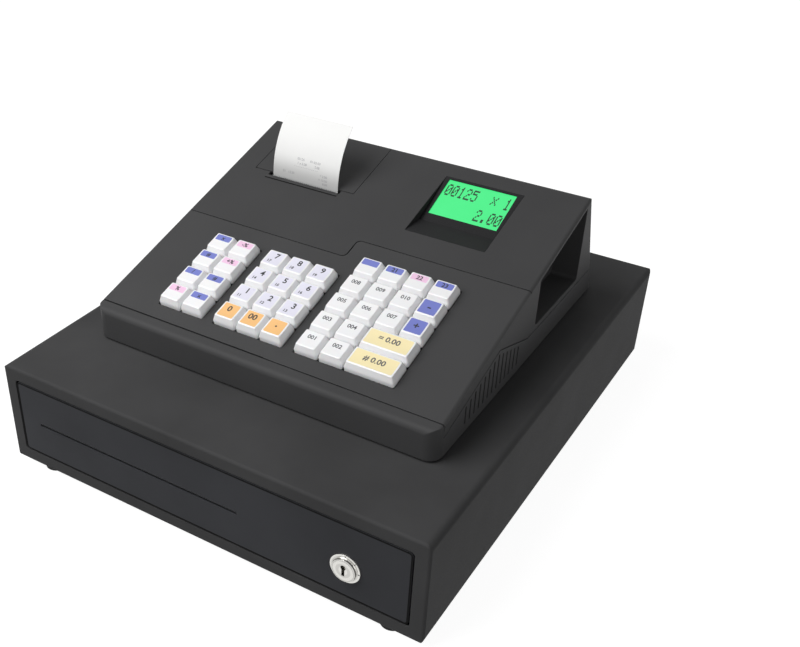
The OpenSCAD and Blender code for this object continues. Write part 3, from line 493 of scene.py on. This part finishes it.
cardColors = {
    "blue": glossyPlastic("blueCard", (0.155, 0.185, 0.55), 0.3),
    "pink": glossyPlastic("pinkCard", (0.86, 0.56, 0.76), 0.3),
    "orange": glossyPlastic("orangeCard", (0.90, 0.52, 0.20), 0.3),
    "yellow": glossyPlastic("yellowCard", (0.92, 0.80, 0.46), 0.3),
    "lilac": glossyPlastic("lilacCard", (0.76, 0.75, 0.86), 0.3),
}
legendInk = inkFinish("legendInk", (0.015, 0.015, 0.018))
paleInk = inkFinish("paleLegendInk", (0.09, 0.09, 0.10))
fullCard, rearCard = "full", "rear"      # part of the top that the card covers


def keyValues(card, cover, ink, *legends):
    return {"card": card, "cover": cover, "ink": ink, "legends": legends}


# name: card colour, its cover, ink, then each legend as (text, size, x, y) in millimetres
keyLegends = {
    "digit_key_0": keyValues("orange", fullCard, legendInk, ("0", 7.0, -0.4, 1.6)),
    "double_zero_key": keyValues("orange", fullCard, legendInk, ("00", 7.0, -0.4, 1.6)),
    "point_key": keyValues("orange", fullCard, legendInk, (".", 9, 0, 3)),
    "total_key": keyValues("yellow", fullCard, paleInk, ("# 0.00", 6.4, 0, 0.6)),
    "subtotal_key": keyValues("yellow", fullCard, paleInk, ("= 0.00", 6.4, 0, 1)),
    "charge_key": keyValues("blue", fullCard, legendInk, ("+", 8, 0, 0.5)),
    "check_key": keyValues("blue", fullCard, legendInk, ("-", 9, 0, 0.5)),
}
for i in range(1, 10):
    keyLegends["digit_key_%d" % i] = keyValues(
        "lilac", fullCard, legendInk, (str(i), 7.0, 1.2, 2.4), (str(10 + i), 3.6, -2.6, -3.4))
for i in range(1, 11):
    keyLegends["dept_key_%d" % i] = keyValues(None, None, paleInk, ("%03d" % i, 4.8, 0.2, 2.0))
functionCards = ["pink", "blue", "blue", "blue", "blue", "pink", "blue", "pink", "blue", "blue", "pink", "blue"]
functionSigns = ["%", "x", "/", "#", "#", "+%", "x", "-%", "", "21", "22", "23"]
for i, (color, sign) in enumerate(zip(functionCards, functionSigns), 1):
    legends = [(sign, 5.0, 0, 3.6)] if sign else []
    keyLegends["function_key_%d" % i] = keyValues(color, rearCard, legendInk, *legends)


def makeKey(name, values):
    shape = keyShape
    lo, hi = turnedBox(name, topSlope)
    middle = (lo + hi) / 2
    halfWidth = (hi.x - lo.x) / 2
    columns = round((2 * halfWidth - shape["footWidth"]) / shape["pitch"]) + 1
    stems = [(i - (columns - 1) / 2) * shape["pitch"] for i in range(columns)]
    top = hi.z - panelTop
    bm = bmesh.new()
    keyCap(bm, halfWidth, top, lo.z - panelTop, stems)
    capFaces = set(bm.faces)
    if values["card"]:
        side = halfWidth - (shape["footWidth"] - shape["topWidth"]) / 2 - shape["cardMargin"]
        depth = shape["topWidth"] / 2 - shape["cardMargin"]
        cardPlate(bm, side, shape["halfCardFront"] if values["cover"] == rearCard else -depth, depth, top)
    bmesh.ops.recalc_face_normals(bm, faces=bm.faces)
    for face in bm.faces:
        face.material_index = 0 if face in capFaces else 1
        face.smooth = face in capFaces
    plainFaces = set(bm.faces)
    lift = shape["cardThickness"] if values["card"] else shape["inkLift"]

    def onDish(co, x, y):
        px, py = co.x + x * mm, co.y + y * mm
        return px, py, dishHeight(py, top) + lift + co.z + shape["inkThickness"] / 2

    for text, size, x, y in values["legends"]:
        addInk(bm, text, size * mm, shape["inkThickness"], lambda co: onDish(co, x, y), shape["inkWeight"])
    for face in set(bm.faces) - plainFaces:
        face.material_index = 2
        face.smooth = False
    mesh = meshOf(bm, name + "_cap")
    mesh.set_sharp_from_angle(angle=math.radians(shape["smoothAngle"]))
    mesh.transform(slopeFrame(topSlope) @ Matrix.Translation((middle.x, (lo.y + hi.y) / 2, panelTop)))
    white = finishes["key_white"]
    card = cardColors[values["card"]] if values["card"] else white
    newPiece(name + "_cap", mesh, name, slotOf[name], white, card, values["ink"], replaced=(name,))


for name, values in keyLegends.items():
    makeKey(name, values)
print("keys made:", len(keyLegends))


displayShape = {                         # millimetres, from the foot of the recess's floor
    "field": (-29.0, 8.2, 28.1, 46.1),   # lit field on the floor
    "floorLength": 48.7,
    "rampTop": (-20.6, 8.6),             # upper end of the ramp, seen from the side
    "halfWidth": 32.9,
    "skin": 0.15,
    "maskReach": 0.1,                    # how far the mask covers the field, and its play at both ends
    "paneBelow": 0.4,                    # the pane under the floor
    "moduleBehind": 0.2,                 # the module starts this much behind the foot
    "paneHalf": 0.05,
    "characterPitch": 5.5,
    "rightMargin": (1.2, 0.4),           # free field at the right, and about half of the last dot
    "lineOffset": 0.235,                 # of the field's length, from its middle to a line
    "dot": (0.91, 1.70, 0.06),           # width, height and thickness of a dot
    "dotPitch": (0.92, 1.72),
    "rows": ((-1, "00125  x 1"), (1, "2.00")),
    "glow": 0.62,
}
dotGlyphs = {
    "0": "01110 10001 10011 10101 11001 10001 01110",
    "1": "00100 01100 00100 00100 00100 00100 01110",
    "2": "01110 10001 00001 00110 01000 10000 11111",
    "5": "11111 10000 11110 00001 00001 10001 01110",
    "x": "00000 10001 01010 00100 01010 10001 00000",
    ".": "00000 00000 00000 00000 00000 01100 01100",
}


def litFinish():
    finish = newFinish("litField", (0.02, 0.25, 0.08), 0.4)
    setInputs(shaderOf(finish), {"Emission Strength": displayShape["glow"]})
    ramp = finish.node_tree.nodes.new("ShaderNodeValToRGB")
    ramp.color_ramp.elements[0].color = (0.040, 0.92, 0.22, 1)
    ramp.color_ramp.elements[1].color = (0.075, 1.0, 0.30, 1)
    link(finish, objectNoise(finish, 40), "Fac", ramp, "Fac")
    link(finish, ramp, "Color", shaderOf(finish), "Emission Color")
    return finish


def boxAt(bm, size, middle):
    verts = bmesh.ops.create_cube(bm, size=1)["verts"]
    bmesh.ops.scale(bm, vec=size, verts=verts)
    bmesh.ops.translate(bm, vec=middle, verts=verts)
    return verts


def plate(bm, x0, y0, x1, y1, z0, z1):
    boxAt(bm, (x1 - x0, y1 - y0, z1 - z0), ((x0 + x1) / 2, (y0 + y1) / 2, (z0 + z1) / 2))


def prism(bm, section, x0, x1):
    ends = [[bm.verts.new((x, y, z)) for y, z in section] for x in (x0, x1)]
    joinLoops(bm, *ends)
    bm.faces.new(ends[0])
    bm.faces.new(reversed(ends[1]))


def sheetBar(bm, points, thickness, x0, x1):
    # a strip of sheet between two points seen from the side, from x0 to x1
    (ya, za), (yb, zb) = points
    along = Vector((yb - ya, zb - za)).normalized()
    up = Vector((along.y, -along.x)) * thickness
    if up.y < 0:
        up = -up
    prism(bm, [(ya, za), (yb, zb), (yb + up.x, zb + up.y), (ya + up.x, za + up.y)], x0, x1)


def characterDots(lo, hi):
    # middle of every dark dot of the two lines, in the leaning frame
    shape = displayShape
    spots = []
    pitchX, pitchY = shape["dotPitch"]
    margin, ownPart = shape["rightMargin"]
    for side, text in shape["rows"]:
        right = hi.x - margin
        lineMiddle = (lo.y + hi.y) / 2 - side * (hi.y - lo.y) * shape["lineOffset"]
        for k, sign in enumerate(reversed(text)):
            if sign == " ":
                continue
            x0 = right - k * shape["characterPitch"] - 4 * pitchX - ownPart
            for j, line in enumerate(dotGlyphs[sign].split()):
                for i, bit in enumerate(line):
                    if bit == "1":
                        spots.append((x0 + i * pitchX, lineMiddle + (3 - j) * pitchY, hi.z))
    return spots


def repeatTree(name, sizes, material, rod=False):
    # one small plate, or one rod along X, on each point; sizes are the tree's named inputs
    tree = bpy.data.node_groups.new(name, "GeometryNodeTree")
    tree.interface.new_socket("Geometry", in_out="INPUT", socket_type="NodeSocketGeometry")
    for label, value in sizes.items():
        kind = "NodeSocketInt" if isinstance(value, int) else "NodeSocketFloat"
        tree.interface.new_socket(label, in_out="INPUT", socket_type=kind).default_value = value
    tree.interface.new_socket("Geometry", in_out="OUTPUT", socket_type="NodeSocketGeometry")
    nodes, join = tree.nodes, tree.links.new
    source = nodes.new("NodeGroupInput")
    points = nodes.new("GeometryNodeMeshToPoints")
    scatter = nodes.new("GeometryNodeInstanceOnPoints")
    realize = nodes.new("GeometryNodeRealizeInstances")
    paint = nodes.new("GeometryNodeSetMaterial")
    setInputs(paint, {"Material": material})
    end = nodes.new("NodeGroupOutput")
    if rod:
        form = nodes.new("GeometryNodeMeshCylinder")
        for label, socket in zip(sizes, ("Radius", "Depth", "Vertices")):
            join(source.outputs[label], form.inputs[socket])
        setInputs(scatter, {"Rotation": (0, math.pi / 2, 0)})
    else:
        form = nodes.new("GeometryNodeMeshCube")
        size = nodes.new("ShaderNodeCombineXYZ")
        for label, socket in zip(sizes, "XYZ"):
            join(source.outputs[label], size.inputs[socket])
        join(size.outputs["Vector"], form.inputs["Size"])
    join(source.outputs["Geometry"], points.inputs["Mesh"])
    join(points.outputs["Points"], scatter.inputs["Points"])
    join(form.outputs["Mesh"], scatter.inputs["Instance"])
    join(scatter.outputs["Instances"], realize.inputs["Geometry"])
    join(realize.outputs["Geometry"], paint.inputs["Geometry"])
    join(paint.outputs["Geometry"], end.inputs["Geometry"])
    return tree


def treeMesh(name, points, tree):
    # the tree's result on a cloud of points, as a plain mesh
    cloud = bpy.data.meshes.new(name)
    cloud.from_pydata(points, [], [])
    holder = bpy.data.objects.new(name, cloud)
    modifier = holder.modifiers.new("repeat", "NODES")
    modifier.node_group = tree
    for item in tree.interface.items_tree:
        if item.in_out == "INPUT" and item.socket_type != "NodeSocketGeometry":
            modifier[item.identifier] = item.default_value
    mesh = finalMesh(holder)
    bpy.data.meshes.remove(cloud)
    mesh.name = name
    return mesh


def displayBezel(bm):
    # black mask round the lit field, on the floor of the recess
    shape = displayShape
    reach, half, skin = shape["maskReach"], shape["halfWidth"], shape["skin"]
    rear = shape["floorLength"] - reach
    x0, y0, x1, y1 = shape["field"]
    x0, y0, x1, y1 = x0 + reach, y0 + reach, x1 - reach, y1 - reach
    outer = [(-half, reach), (half, reach), (half, rear), (-half, rear)]
    inner = [(x0, y0), (x1, y0), (x1, y1), (x0, y1)]
    levels = ((outer, 0), (outer, skin), (inner, skin), (inner, 0))
    joinRound(bm, [[bm.verts.new((x, y, z)) for x, y in ring] for ring, z in levels])


def recessSkin(bm):
    # ramp and side walls of the recess, just inside its faces, in a darker black that is partly the recess's own
    # colour and partly painted shade
    shape = displayShape
    half, skin = shape["halfWidth"], shape["skin"]
    rampY, rampZ = shape["rampTop"]
    sheetBar(bm, ((0.05, 0.0), (rampY + 0.2, rampZ - 0.1)), skin, -half + skin, half - skin)
    wall = [(0, 0), (shape["floorLength"] - 1, 0), (rampY + 0.4, rampZ - 0.15)]
    prism(bm, wall, -half, -half + skin)
    prism(bm, wall, half - skin, half)


def makeDisplay():
    shape = displayShape
    lo, hi = turnedBox("lcd_display", displaySlope)
    foot = Vector(((lo.x + hi.x) / 2, lo.y - shape["moduleBehind"] * mm, hi.z + shape["paneBelow"] * mm))
    place = slopeFrame(displaySlope) @ Matrix.Translation(foot) @ Matrix.Scale(mm, 4)
    x0, y0, x1, y1 = shape["field"]
    pane, paneHalf = -shape["paneBelow"], shape["paneHalf"]
    maskBlack = texturedCoat("bezelBlack", (0.006, 0.006, 0.007), 0.32, 1200, 0.00001)
    # the recess's own dark colour, deepened by painted shade
    recessBlackAndShade = texturedCoat("recessBlackAndShade", (0.018, 0.018, 0.019), 0.55, 2200, 0.00003, specular=0.05)

    def field(bm):
        plate(bm, x0, y0, x1, y1, pane - paneHalf, pane + paneHalf)

    for name, build, slot, material in (
        ("display_field", field, "lcd_green", litFinish()),
        ("display_bezel", displayBezel, "lcd_green", maskBlack),
        ("display_recess", recessSkin, "housing_plastic", recessBlackAndShade),
    ):
        mesh = meshFrom(build, name)
        mesh.transform(place)
        newPiece(name, mesh, "till", slot, material)
    dotLevel = pane + paneHalf + shape["dot"][2] / 2
    dots = characterDots(Vector((x0, y0, pane)), Vector((x1, y1, dotLevel)))
    dotSizes = dict(zip(("Dot Width", "Dot Height", "Dot Thickness"), shape["dot"]))
    tree = repeatTree("characterDots", dotSizes, inkFinish("figureInk", (0.002, 0.040, 0.012), 0.4))
    figures = treeMesh("display_figures", dots, tree)
    figures.transform(place)
    newPiece("display_figures", figures, "till", "lcd_green")


makeDisplay()
print("display made")


lockShape = {                # millimetres
    "faceRadius": 8.9,       # raised ring round the plug
    "flangeRadius": 11.25,
    "flangeProud": 1.3,
    "boreRadius": 7.9,       # seat of the plug's face
    "seat": -0.95,           # floor of that bore
    "plugBore": 6.05,
    "barrelRadius": 9.3,
    "nutAcross": 24.0,
    "nut": (1.7, 3.4),       # front and back of the nut behind the drawer front's face
    "marks": (0, 45, 90),
    "markSize": (0.7, 0.06, 1.3),
    "markRadius": 10.2,
    "smoothAngle": 30,
}


def ringLoop(bm, polar, y):
    return [bm.verts.new((r * math.cos(a), y, r * math.sin(a))) for r, a in polar]


def revolved(bm, profile, steps=72):
    # closed ring of (radius, depth along Y) points round the Y axis
    rings = []
    for i in range(steps):
        a = 2 * math.pi * i / steps
        rings.append([bm.verts.new((r * math.cos(a), y, r * math.sin(a))) for r, y in profile])
    joinRound(bm, rings)


def lockBody(bm, proud, back):
    shape = lockShape
    face, flange, bore = shape["faceRadius"], shape["flangeRadius"], shape["boreRadius"]
    rim, barrel, seat = shape["flangeProud"], shape["barrelRadius"], shape["seat"]
    revolved(bm, [
        (bore, -proud), (face - 0.6, -proud), (face - 0.2, -proud + 0.15), (face, -proud + 0.6),
        (face + 0.1, -rim - 0.3), (face + 0.4, -rim), (flange - 0.5, -rim), (flange - 0.15, -rim + 0.15),
        (flange, -rim + 0.5), (flange, 0), (barrel, 0), (barrel, back),
        (shape["plugBore"], back), (shape["plugBore"], seat), (bore, seat),
    ])
    cornerRadius = shape["nutAcross"] / 2 / math.cos(math.radians(30))
    corners = [(cornerRadius, math.radians(60 * i)) for i in range(6)]
    ring = [(barrel + 0.02, a) for _, a in corners]
    y0, y1 = shape["nut"]
    joinRound(bm, [ringLoop(bm, *level) for level in ((corners, y0), (corners, y1), (ring, y1), (ring, y0))])


def lockMarks(bm):
    # small dark index marks painted on the flange
    shape = lockShape
    for angle in shape["marks"]:
        verts = boxAt(bm, shape["markSize"], (0, -shape["flangeProud"] - 0.02, shape["markRadius"]))
        bmesh.ops.transform(bm, matrix=Matrix.Rotation(math.radians(angle), 4, "Y"), verts=verts)


def makeLock():
    lo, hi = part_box("lock_body")
    place = Matrix.Translation(lockAxis) @ Matrix.Scale(mm, 4)
    proud, back = (lockAxis.y - lo.y) / mm, (hi.y - lockAxis.y) / mm
    body = meshFrom(lambda bm: lockBody(bm, proud, back), "lock_housing", lockShape["smoothAngle"])
    body.transform(place)
    newPiece("lock_housing", body, "drawer", "lock_chrome", finishes["lock_chrome"], replaced=("lock_body",))
    marks = meshFrom(lockMarks, "lock_marks")
    marks.transform(place)
    newPiece("lock_marks", marks, "drawer", "lock_chrome", inkFinish("markPaint", (0.02, 0.02, 0.02)))


makeLock()
print("lock made")


boardShape = {                # millimetres, in the leaning frame
    "below": 27.0,            # the main board's face under the top surface
    "main": (-16.0, 149.5, 119.15, 249.5),
    "thickness": 1.6,
    "keyBoardEnds": -20,      # all of the key board lies left of this
    "wall": 121.75,           # inner wall of the port bay
    "jack": {
        "at": (165.5, 5.0), "outer": 3.55, "bore": 2.2, "depth": 3,
        "block": (-12, -1, 4, 9),              # from and to before the board's edge, half width, height
    },
    "usb": {
        "at": 181.5, "width": 6.0, "low": 0.7, "high": 13.6, "wall": 0.5,
        "block": (-14, -4.8, 2.9, 13.4),
        "tongue": (0.9, 2.6, 11.8),            # half thickness, from and to
    },
    "serial": {
        "at": 207.5, "middle": 5.8, "flange": (0.6, 15.4, 6.2), "shell": (8.4, 4.15), "depth": 5.5,
        "block": (-12, -1, 15, 11.4),
        "pinPitch": 2.77, "pinRow": 1.42, "nutReach": 12.5,
    },
    "pin": {"Pin Radius": 0.5, "Pin Length": 4.4, "Pin Sides": 12},
    "nut": {"Nut Radius": 2.7, "Nut Length": 4.4, "Nut Sides": 6},
}


def tubeAlongX(bm, outer, inner, x0, x1, floorX=None):
    # tube between two outlines of (y, z) with the same number of points, closed at floorX if that is given
    through = floorX is None
    loops = [(outer, x0), (outer, x1), (inner, x1), (inner, x0 if through else floorX)]
    rings = [[bm.verts.new((x, y, z)) for y, z in outline] for outline, x in loops]
    for a, b in zip(rings, rings[1:] + (rings[:1] if through else [])):
        joinLoops(bm, a, b)
    if not through:
        bm.faces.new(rings[0])
        bm.faces.new(rings[-1])


def circleOutline(y, z, radius, steps=28):
    angles = [2 * math.pi * i / steps for i in range(steps)]
    return [(y + radius * math.cos(a), z + radius * math.sin(a)) for a in angles]


def boxOutline(y0, z0, y1, z1):
    return [(y0, z0), (y1, z0), (y1, z1), (y0, z1)]


def shellOutline(y, z, halfWidth, halfHeight):
    # the slanted outline of a nine-pin socket
    slant = halfHeight * 0.17
    low, shoulder = z - halfHeight * 0.6, z + halfHeight * 0.7
    return [
        (y - halfWidth + slant, z - halfHeight), (y + halfWidth - slant, z - halfHeight),
        (y + halfWidth, low), (y + halfWidth + slant, shoulder), (y + halfWidth, z + halfHeight),
        (y - halfWidth, z + halfHeight), (y - halfWidth - slant, shoulder), (y - halfWidth, low),
    ]


def makeBoards():
    shape = boardShape
    usb, serial, jack, wall = shape["usb"], shape["serial"], shape["jack"], shape["wall"]
    left, front, right, rear = shape["main"]
    points = turnedPoints("circuit_boards", topSlope)
    hi = pointBox(points)[1]
    origin = Vector((0, hi.y - rear * mm, panelTop - shape["below"] * mm))
    place = slopeFrame(topSlope) @ Matrix.Translation(origin) @ Matrix.Scale(mm, 4)
    nodeVertices = frame["nodes"]["circuit_boards"].data.vertices
    keyBoard = [(p - origin) / mm for p, v in zip(points, nodeVertices) if v.co.x < shape["keyBoardEnds"] * mm]
    x0, y0, z0 = (min(p[i] for p in keyBoard) for i in range(3))
    y1, z1 = (max(p[i] for p in keyBoard) for i in (1, 2))
    at, middle, usbAt = serial["at"], serial["middle"], usb["at"]

    def block(bm, y, values):
        start, end, half, height = values
        plate(bm, right + start, y - half, right + end, y + half, 0, height)

    def serialOutline(less):
        return shellOutline(at, middle, serial["shell"][0] - less, serial["shell"][1] - less)

    def greenParts(bm):
        plate(bm, left, front, right, rear, -shape["thickness"], 0)
        plate(bm, x0, y0, -x0, y1, z0, z1)

    def blackParts(bm):
        block(bm, jack["at"][0], jack["block"])
        jackOutlines = [circleOutline(*jack["at"], radius) for radius in (jack["outer"], jack["bore"])]
        tubeAlongX(bm, *jackOutlines, right - 1, wall + 0.2, wall - jack["depth"])
        block(bm, usbAt, usb["block"])
        half, low, high = usb["tongue"]
        plate(bm, right - 4.6, usbAt - half, wall - 0.4, usbAt + half, low, high)
        block(bm, at, serial["block"])
        tubeAlongX(bm, serialOutline(0.5), shellOutline(at, middle, 1.0, 0.4), right - 0.8, wall + 1.4, wall + 1.3)

    def metalParts(bm):
        half, low, high, sheet = usb["width"] / 2, usb["low"], usb["high"], usb["wall"]
        outer = boxOutline(usbAt - half, low, usbAt + half, high)
        inner = boxOutline(usbAt - half + sheet, low + sheet, usbAt + half - sheet, high - sheet)
        tubeAlongX(bm, outer, inner, right - 5, wall + 0.4, right - 4.5)
        thick, reachY, reachZ = serial["flange"]
        plate(bm, wall, at - reachY, wall + thick, at + reachY, middle - reachZ, middle + reachZ)
        tubeAlongX(bm, serialOutline(0), serialOutline(0.4), wall + 0.5, wall + serial["depth"])

    nickel = platedMetal("socketNickel", (0.62, 0.61, 0.58), 0.28, (1, 1, 1), 500)
    gold = platedMetal("pinGold", (0.80, 0.62, 0.28), 0.25, (1, 1, 1), 500)
    socketBlack = texturedCoat("socketBlack", (0.02, 0.02, 0.022), 0.45, 1500, 0.00002)
    for name, build, smoothAngle, material, replaced in (
        ("circuit_board_plates", greenParts, None, finishes["board_green"], ("circuit_boards",)),
        ("socket_bodies", blackParts, None, socketBlack, ()),
        ("socket_shells", metalParts, 30, nickel, ()),
    ):
        mesh = meshFrom(build, name, smoothAngle)
        mesh.transform(place)
        newPiece(name, mesh, "till", "board_green", material, replaced=replaced)
    pitch, row = serial["pinPitch"], serial["pinRow"]
    pinPlaces = [(wall + 3, at + (i - 2) * pitch, middle + row) for i in range(5)]
    pinPlaces += [(wall + 3, at + (i - 1.5) * pitch, middle - row) for i in range(4)]
    nutPlaces = [(wall + 2.6, at + side * serial["nutReach"], middle) for side in (-1, 1)]
    pins = repeatTree("pinRow", shape["pin"], gold, rod=True)
    nuts = repeatTree("standoffs", shape["nut"], nickel, rod=True)
    for name, places, tree in (("socket_pins", pinPlaces, pins), ("socket_nuts", nutPlaces, nuts)):
        mesh = treeMesh(name, places, tree)
        mesh.transform(place)
        newPiece(name, mesh, "till", "board_green")


makeBoards()
print("boards made")


paperShape = {
    "curlRadius": 60 * mm,
    "curlAngle": 50,
    "paintedShadeHeight": 20 * mm,      # height over which painted shade darkens the paper's colour towards its foot at the slot
    "paintedShadeFactor": 0.62,
    "ink": 0.02 * mm,
    "inkLift": 0.005 * mm,
    "textSize": 2.7 * mm,
    # (text, place across the paper, distance up the curl) in millimetres
    "lines": (
        ("00125       01-02-03", 2, 17), ("1 x 2.00          2.00", 2, 13.5),
        ("- - - - - - - - - - - - - -", 0, 11), ("* 2.00", 17, 7.6), ("= 10.00", 16.4, 4.4), ("8.00", 18.4, 1.4),
        ("01   12:30", -16, 4.4),
    ),
}


def makePaperPrint():
    # thermal print: thin figures that follow the curl's outer face
    shape = paperShape
    lo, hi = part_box("paper_strip")
    radius = shape["curlRadius"]
    centreY = lo.y + radius
    centreZ = hi.z - radius * math.sin(math.radians(shape["curlAngle"]))
    # painted shade: the paper's colour darkens towards the slot
    darkenAlong(finishes["paper"], "Z", centreZ, centreZ + shape["paintedShadeHeight"], shape["paintedShadeFactor"])

    def onCurl(co, x, s):
        angle = (s * mm + co.y) / radius
        r = radius + shape["inkLift"] + shape["ink"] / 2 + co.z
        return (lo.x + hi.x) / 2 + x * mm + co.x, centreY - r * math.cos(angle), centreZ + r * math.sin(angle)

    bm = bmesh.new()
    for text, x, s in shape["lines"]:
        addInk(bm, text, shape["textSize"], shape["ink"], lambda co: onCurl(co, x, s))
    thermalInk = inkFinish("thermalInk", (0.30, 0.30, 0.32), 0.7)
    newPiece("paper_print", meshOf(bm, "paper_print"), "cover", "paper", thermalInk)


makePaperPrint()
print("paper printed")


lipShape = {                     # millimetres
    "slotAhead": 3.0,            # front edge of the slot before the paper
    "rear": -0.1,
    "depth": 2.9,
    "left": 4.2, "right": 2.6,   # reach past the paper's sides
    "below": -0.3,
    "height": 0.22,
    "groove": 1.1,
    "grooveSkin": (-0.1, 0.03),
}
# near-black finish for painted shade in grooves and gaps
jointShade = inkFinish("jointShade", (0.008, 0.008, 0.008), 0.8, specular=0.05)


def makeTearLip():
    # low tear edge before the slot, with a near-black strip in front of it as painted shade of the groove
    shape = lipShape
    lo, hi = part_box("paper_strip")
    slotFront = (lo.y - shape["slotAhead"] * mm + panelTop * math.sin(topSlope)) / math.cos(topSlope)
    place = slopeFrame(topSlope) @ Matrix.Translation((0, slotFront, panelTop)) @ Matrix.Scale(mm, 4)
    x0, x1 = lo.x / mm - shape["left"], hi.x / mm + shape["right"]
    rear, below, high = shape["rear"], shape["below"], shape["height"]
    front = rear - shape["depth"]
    section = [
        (front, below), (rear, below), (rear, high - 0.1), (rear - 0.1, high),
        (front + 0.2, high), (front, high - 0.1),
    ]

    # painted shade: a near-black strip on the surface where the groove lies in shade
    def joint(bm):
        plate(bm, x0, front - shape["groove"], x1, front, *shape["grooveSkin"])

    for name, build, material in (
        ("tear_lip", lambda bm: prism(bm, section, x0, x1), finishes["panel_plastic"]),
        ("tear_lip_groove_shade", joint, jointShade),
    ):
        mesh = meshFrom(build, name)
        mesh.transform(place)
        newPiece(name, mesh, "till", "panel_plastic", material)


makeTearLip()
print("tear edge made")


# size of the painted shade ring on the drawer front's rim
edgeShadeShape = {                  # millimetres
    "cornerRadius": 3.0,       # corners of the drawer front
    "width": 1.3,
    "coat": 0.03,
}


def makeTurnedEdge():
    # painted shade: a near-black ring on the drawer front's rim, where the turned edge of its sheet falls away into
    # the joint and lies in shade
    width, coat = edgeShadeShape["width"], edgeShadeShape["coat"]
    lo, hi = (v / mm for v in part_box("drawer_front"))
    halfX, halfZ = (hi.x - lo.x) / 2, (hi.z - lo.z) / 2

    def ring(bm):
        loops = []
        for inset, y in ((0, -coat), (width, -coat), (width, coat), (0, coat)):
            rows = sideRows(halfX - inset, halfZ - inset, edgeShadeShape["cornerRadius"] - inset)
            loops.append([bm.verts.new((x, y, z)) for x, z in wholeOutline(rows)])
        joinRound(bm, loops)

    edge = meshFrom(ring, "drawer_front_edge_shade")
    edge.transform(Matrix.Scale(mm, 4) @ Matrix.Translation(((lo.x + hi.x) / 2, lo.y, (lo.z + hi.z) / 2)))
    newPiece("drawer_front_edge_shade", edge, "drawer", "front_steel", jointShade)


makeTurnedEdge()
print("turned edge made")


stage = {
    "floorSize": 30.0,
    "floorColor": 0.22,
    "floorGlow": 0.93,         # seen by the camera and in reflections only
    "world": 0.18,
    "aim": (0, 0, 0.1),        # where all lamps point
    "lamps": {
        "mainLamp": {"place": (-0.62, -0.78, 1.15), "size": 1.3, "power": 22.3},
        "fillLamp": {"place": (1.5, -0.9, 0.40), "size": 1.0, "power": 6},
        "backLamp": {"place": (0.1, 1.8, 0.22), "size": 0.4, "power": 5},
    },
}


def seenDirectly(tree):
    # 1 for rays from the camera and those that metal and glass send on, 0 for diffuse light
    path = tree.nodes.new("ShaderNodeLightPath")
    result = path.outputs["Is Camera Ray"]
    for name in ("Is Glossy Ray", "Is Transmission Ray"):
        either = tree.nodes.new("ShaderNodeMath")
        either.operation = "MAXIMUM"
        tree.links.new(result, either.inputs[0])
        tree.links.new(path.outputs[name], either.inputs[1])
        result = either.outputs[0]
    return result


def makeFloor():
    half = stage["floorSize"] / 2
    mesh = meshFrom(lambda bm: bmesh.ops.create_grid(bm, x_segments=1, y_segments=1, size=half), "floor")
    floor = bpy.data.objects.new("floor", mesh)
    scene.collection.objects.link(floor)
    finish = newFinish("paleFloor", (stage["floorColor"],) * 3, 0.9, specular=0.0)
    tree = finish.node_tree
    setInputs(shaderOf(finish), {"Emission Color": (1, 1, 1, 1)})
    strength = tree.nodes.new("ShaderNodeMath")
    strength.operation = "MULTIPLY"
    strength.inputs[1].default_value = stage["floorGlow"]
    tree.links.new(seenDirectly(tree), strength.inputs[0])
    tree.links.new(strength.outputs[0], shaderOf(finish).inputs["Emission Strength"])
    mesh.materials.append(finish)


def makeWorld():
    world = bpy.data.worlds.new("softRoom")
    scene.world = world
    world.use_nodes = True
    tree = world.node_tree
    background = tree.nodes["Background"]
    mix = tree.nodes.new("ShaderNodeMapRange")
    setInputs(mix, {"To Min": stage["world"], "To Max": 1.0})
    tree.links.new(seenDirectly(tree), mix.inputs["Value"])
    tree.links.new(mix.outputs["Result"], background.inputs["Strength"])
    setInputs(background, {"Color": (1, 1, 1, 1)})


def makeLamp(name, values):
    data = bpy.data.lights.new(name, "AREA")
    data.shape = "DISK"
    data.size = values["size"]
    data.energy = values["power"]
    lamp = bpy.data.objects.new(name, data)
    lamp.location = values["place"]
    ray = Vector(stage["aim"]) - Vector(values["place"])
    lamp.rotation_euler = ray.to_track_quat("-Z", "Y").to_euler()
    scene.collection.objects.link(lamp)


makeFloor()
makeWorld()
for name, values in stage["lamps"].items():
    makeLamp(name, values)
print("floor and light set")
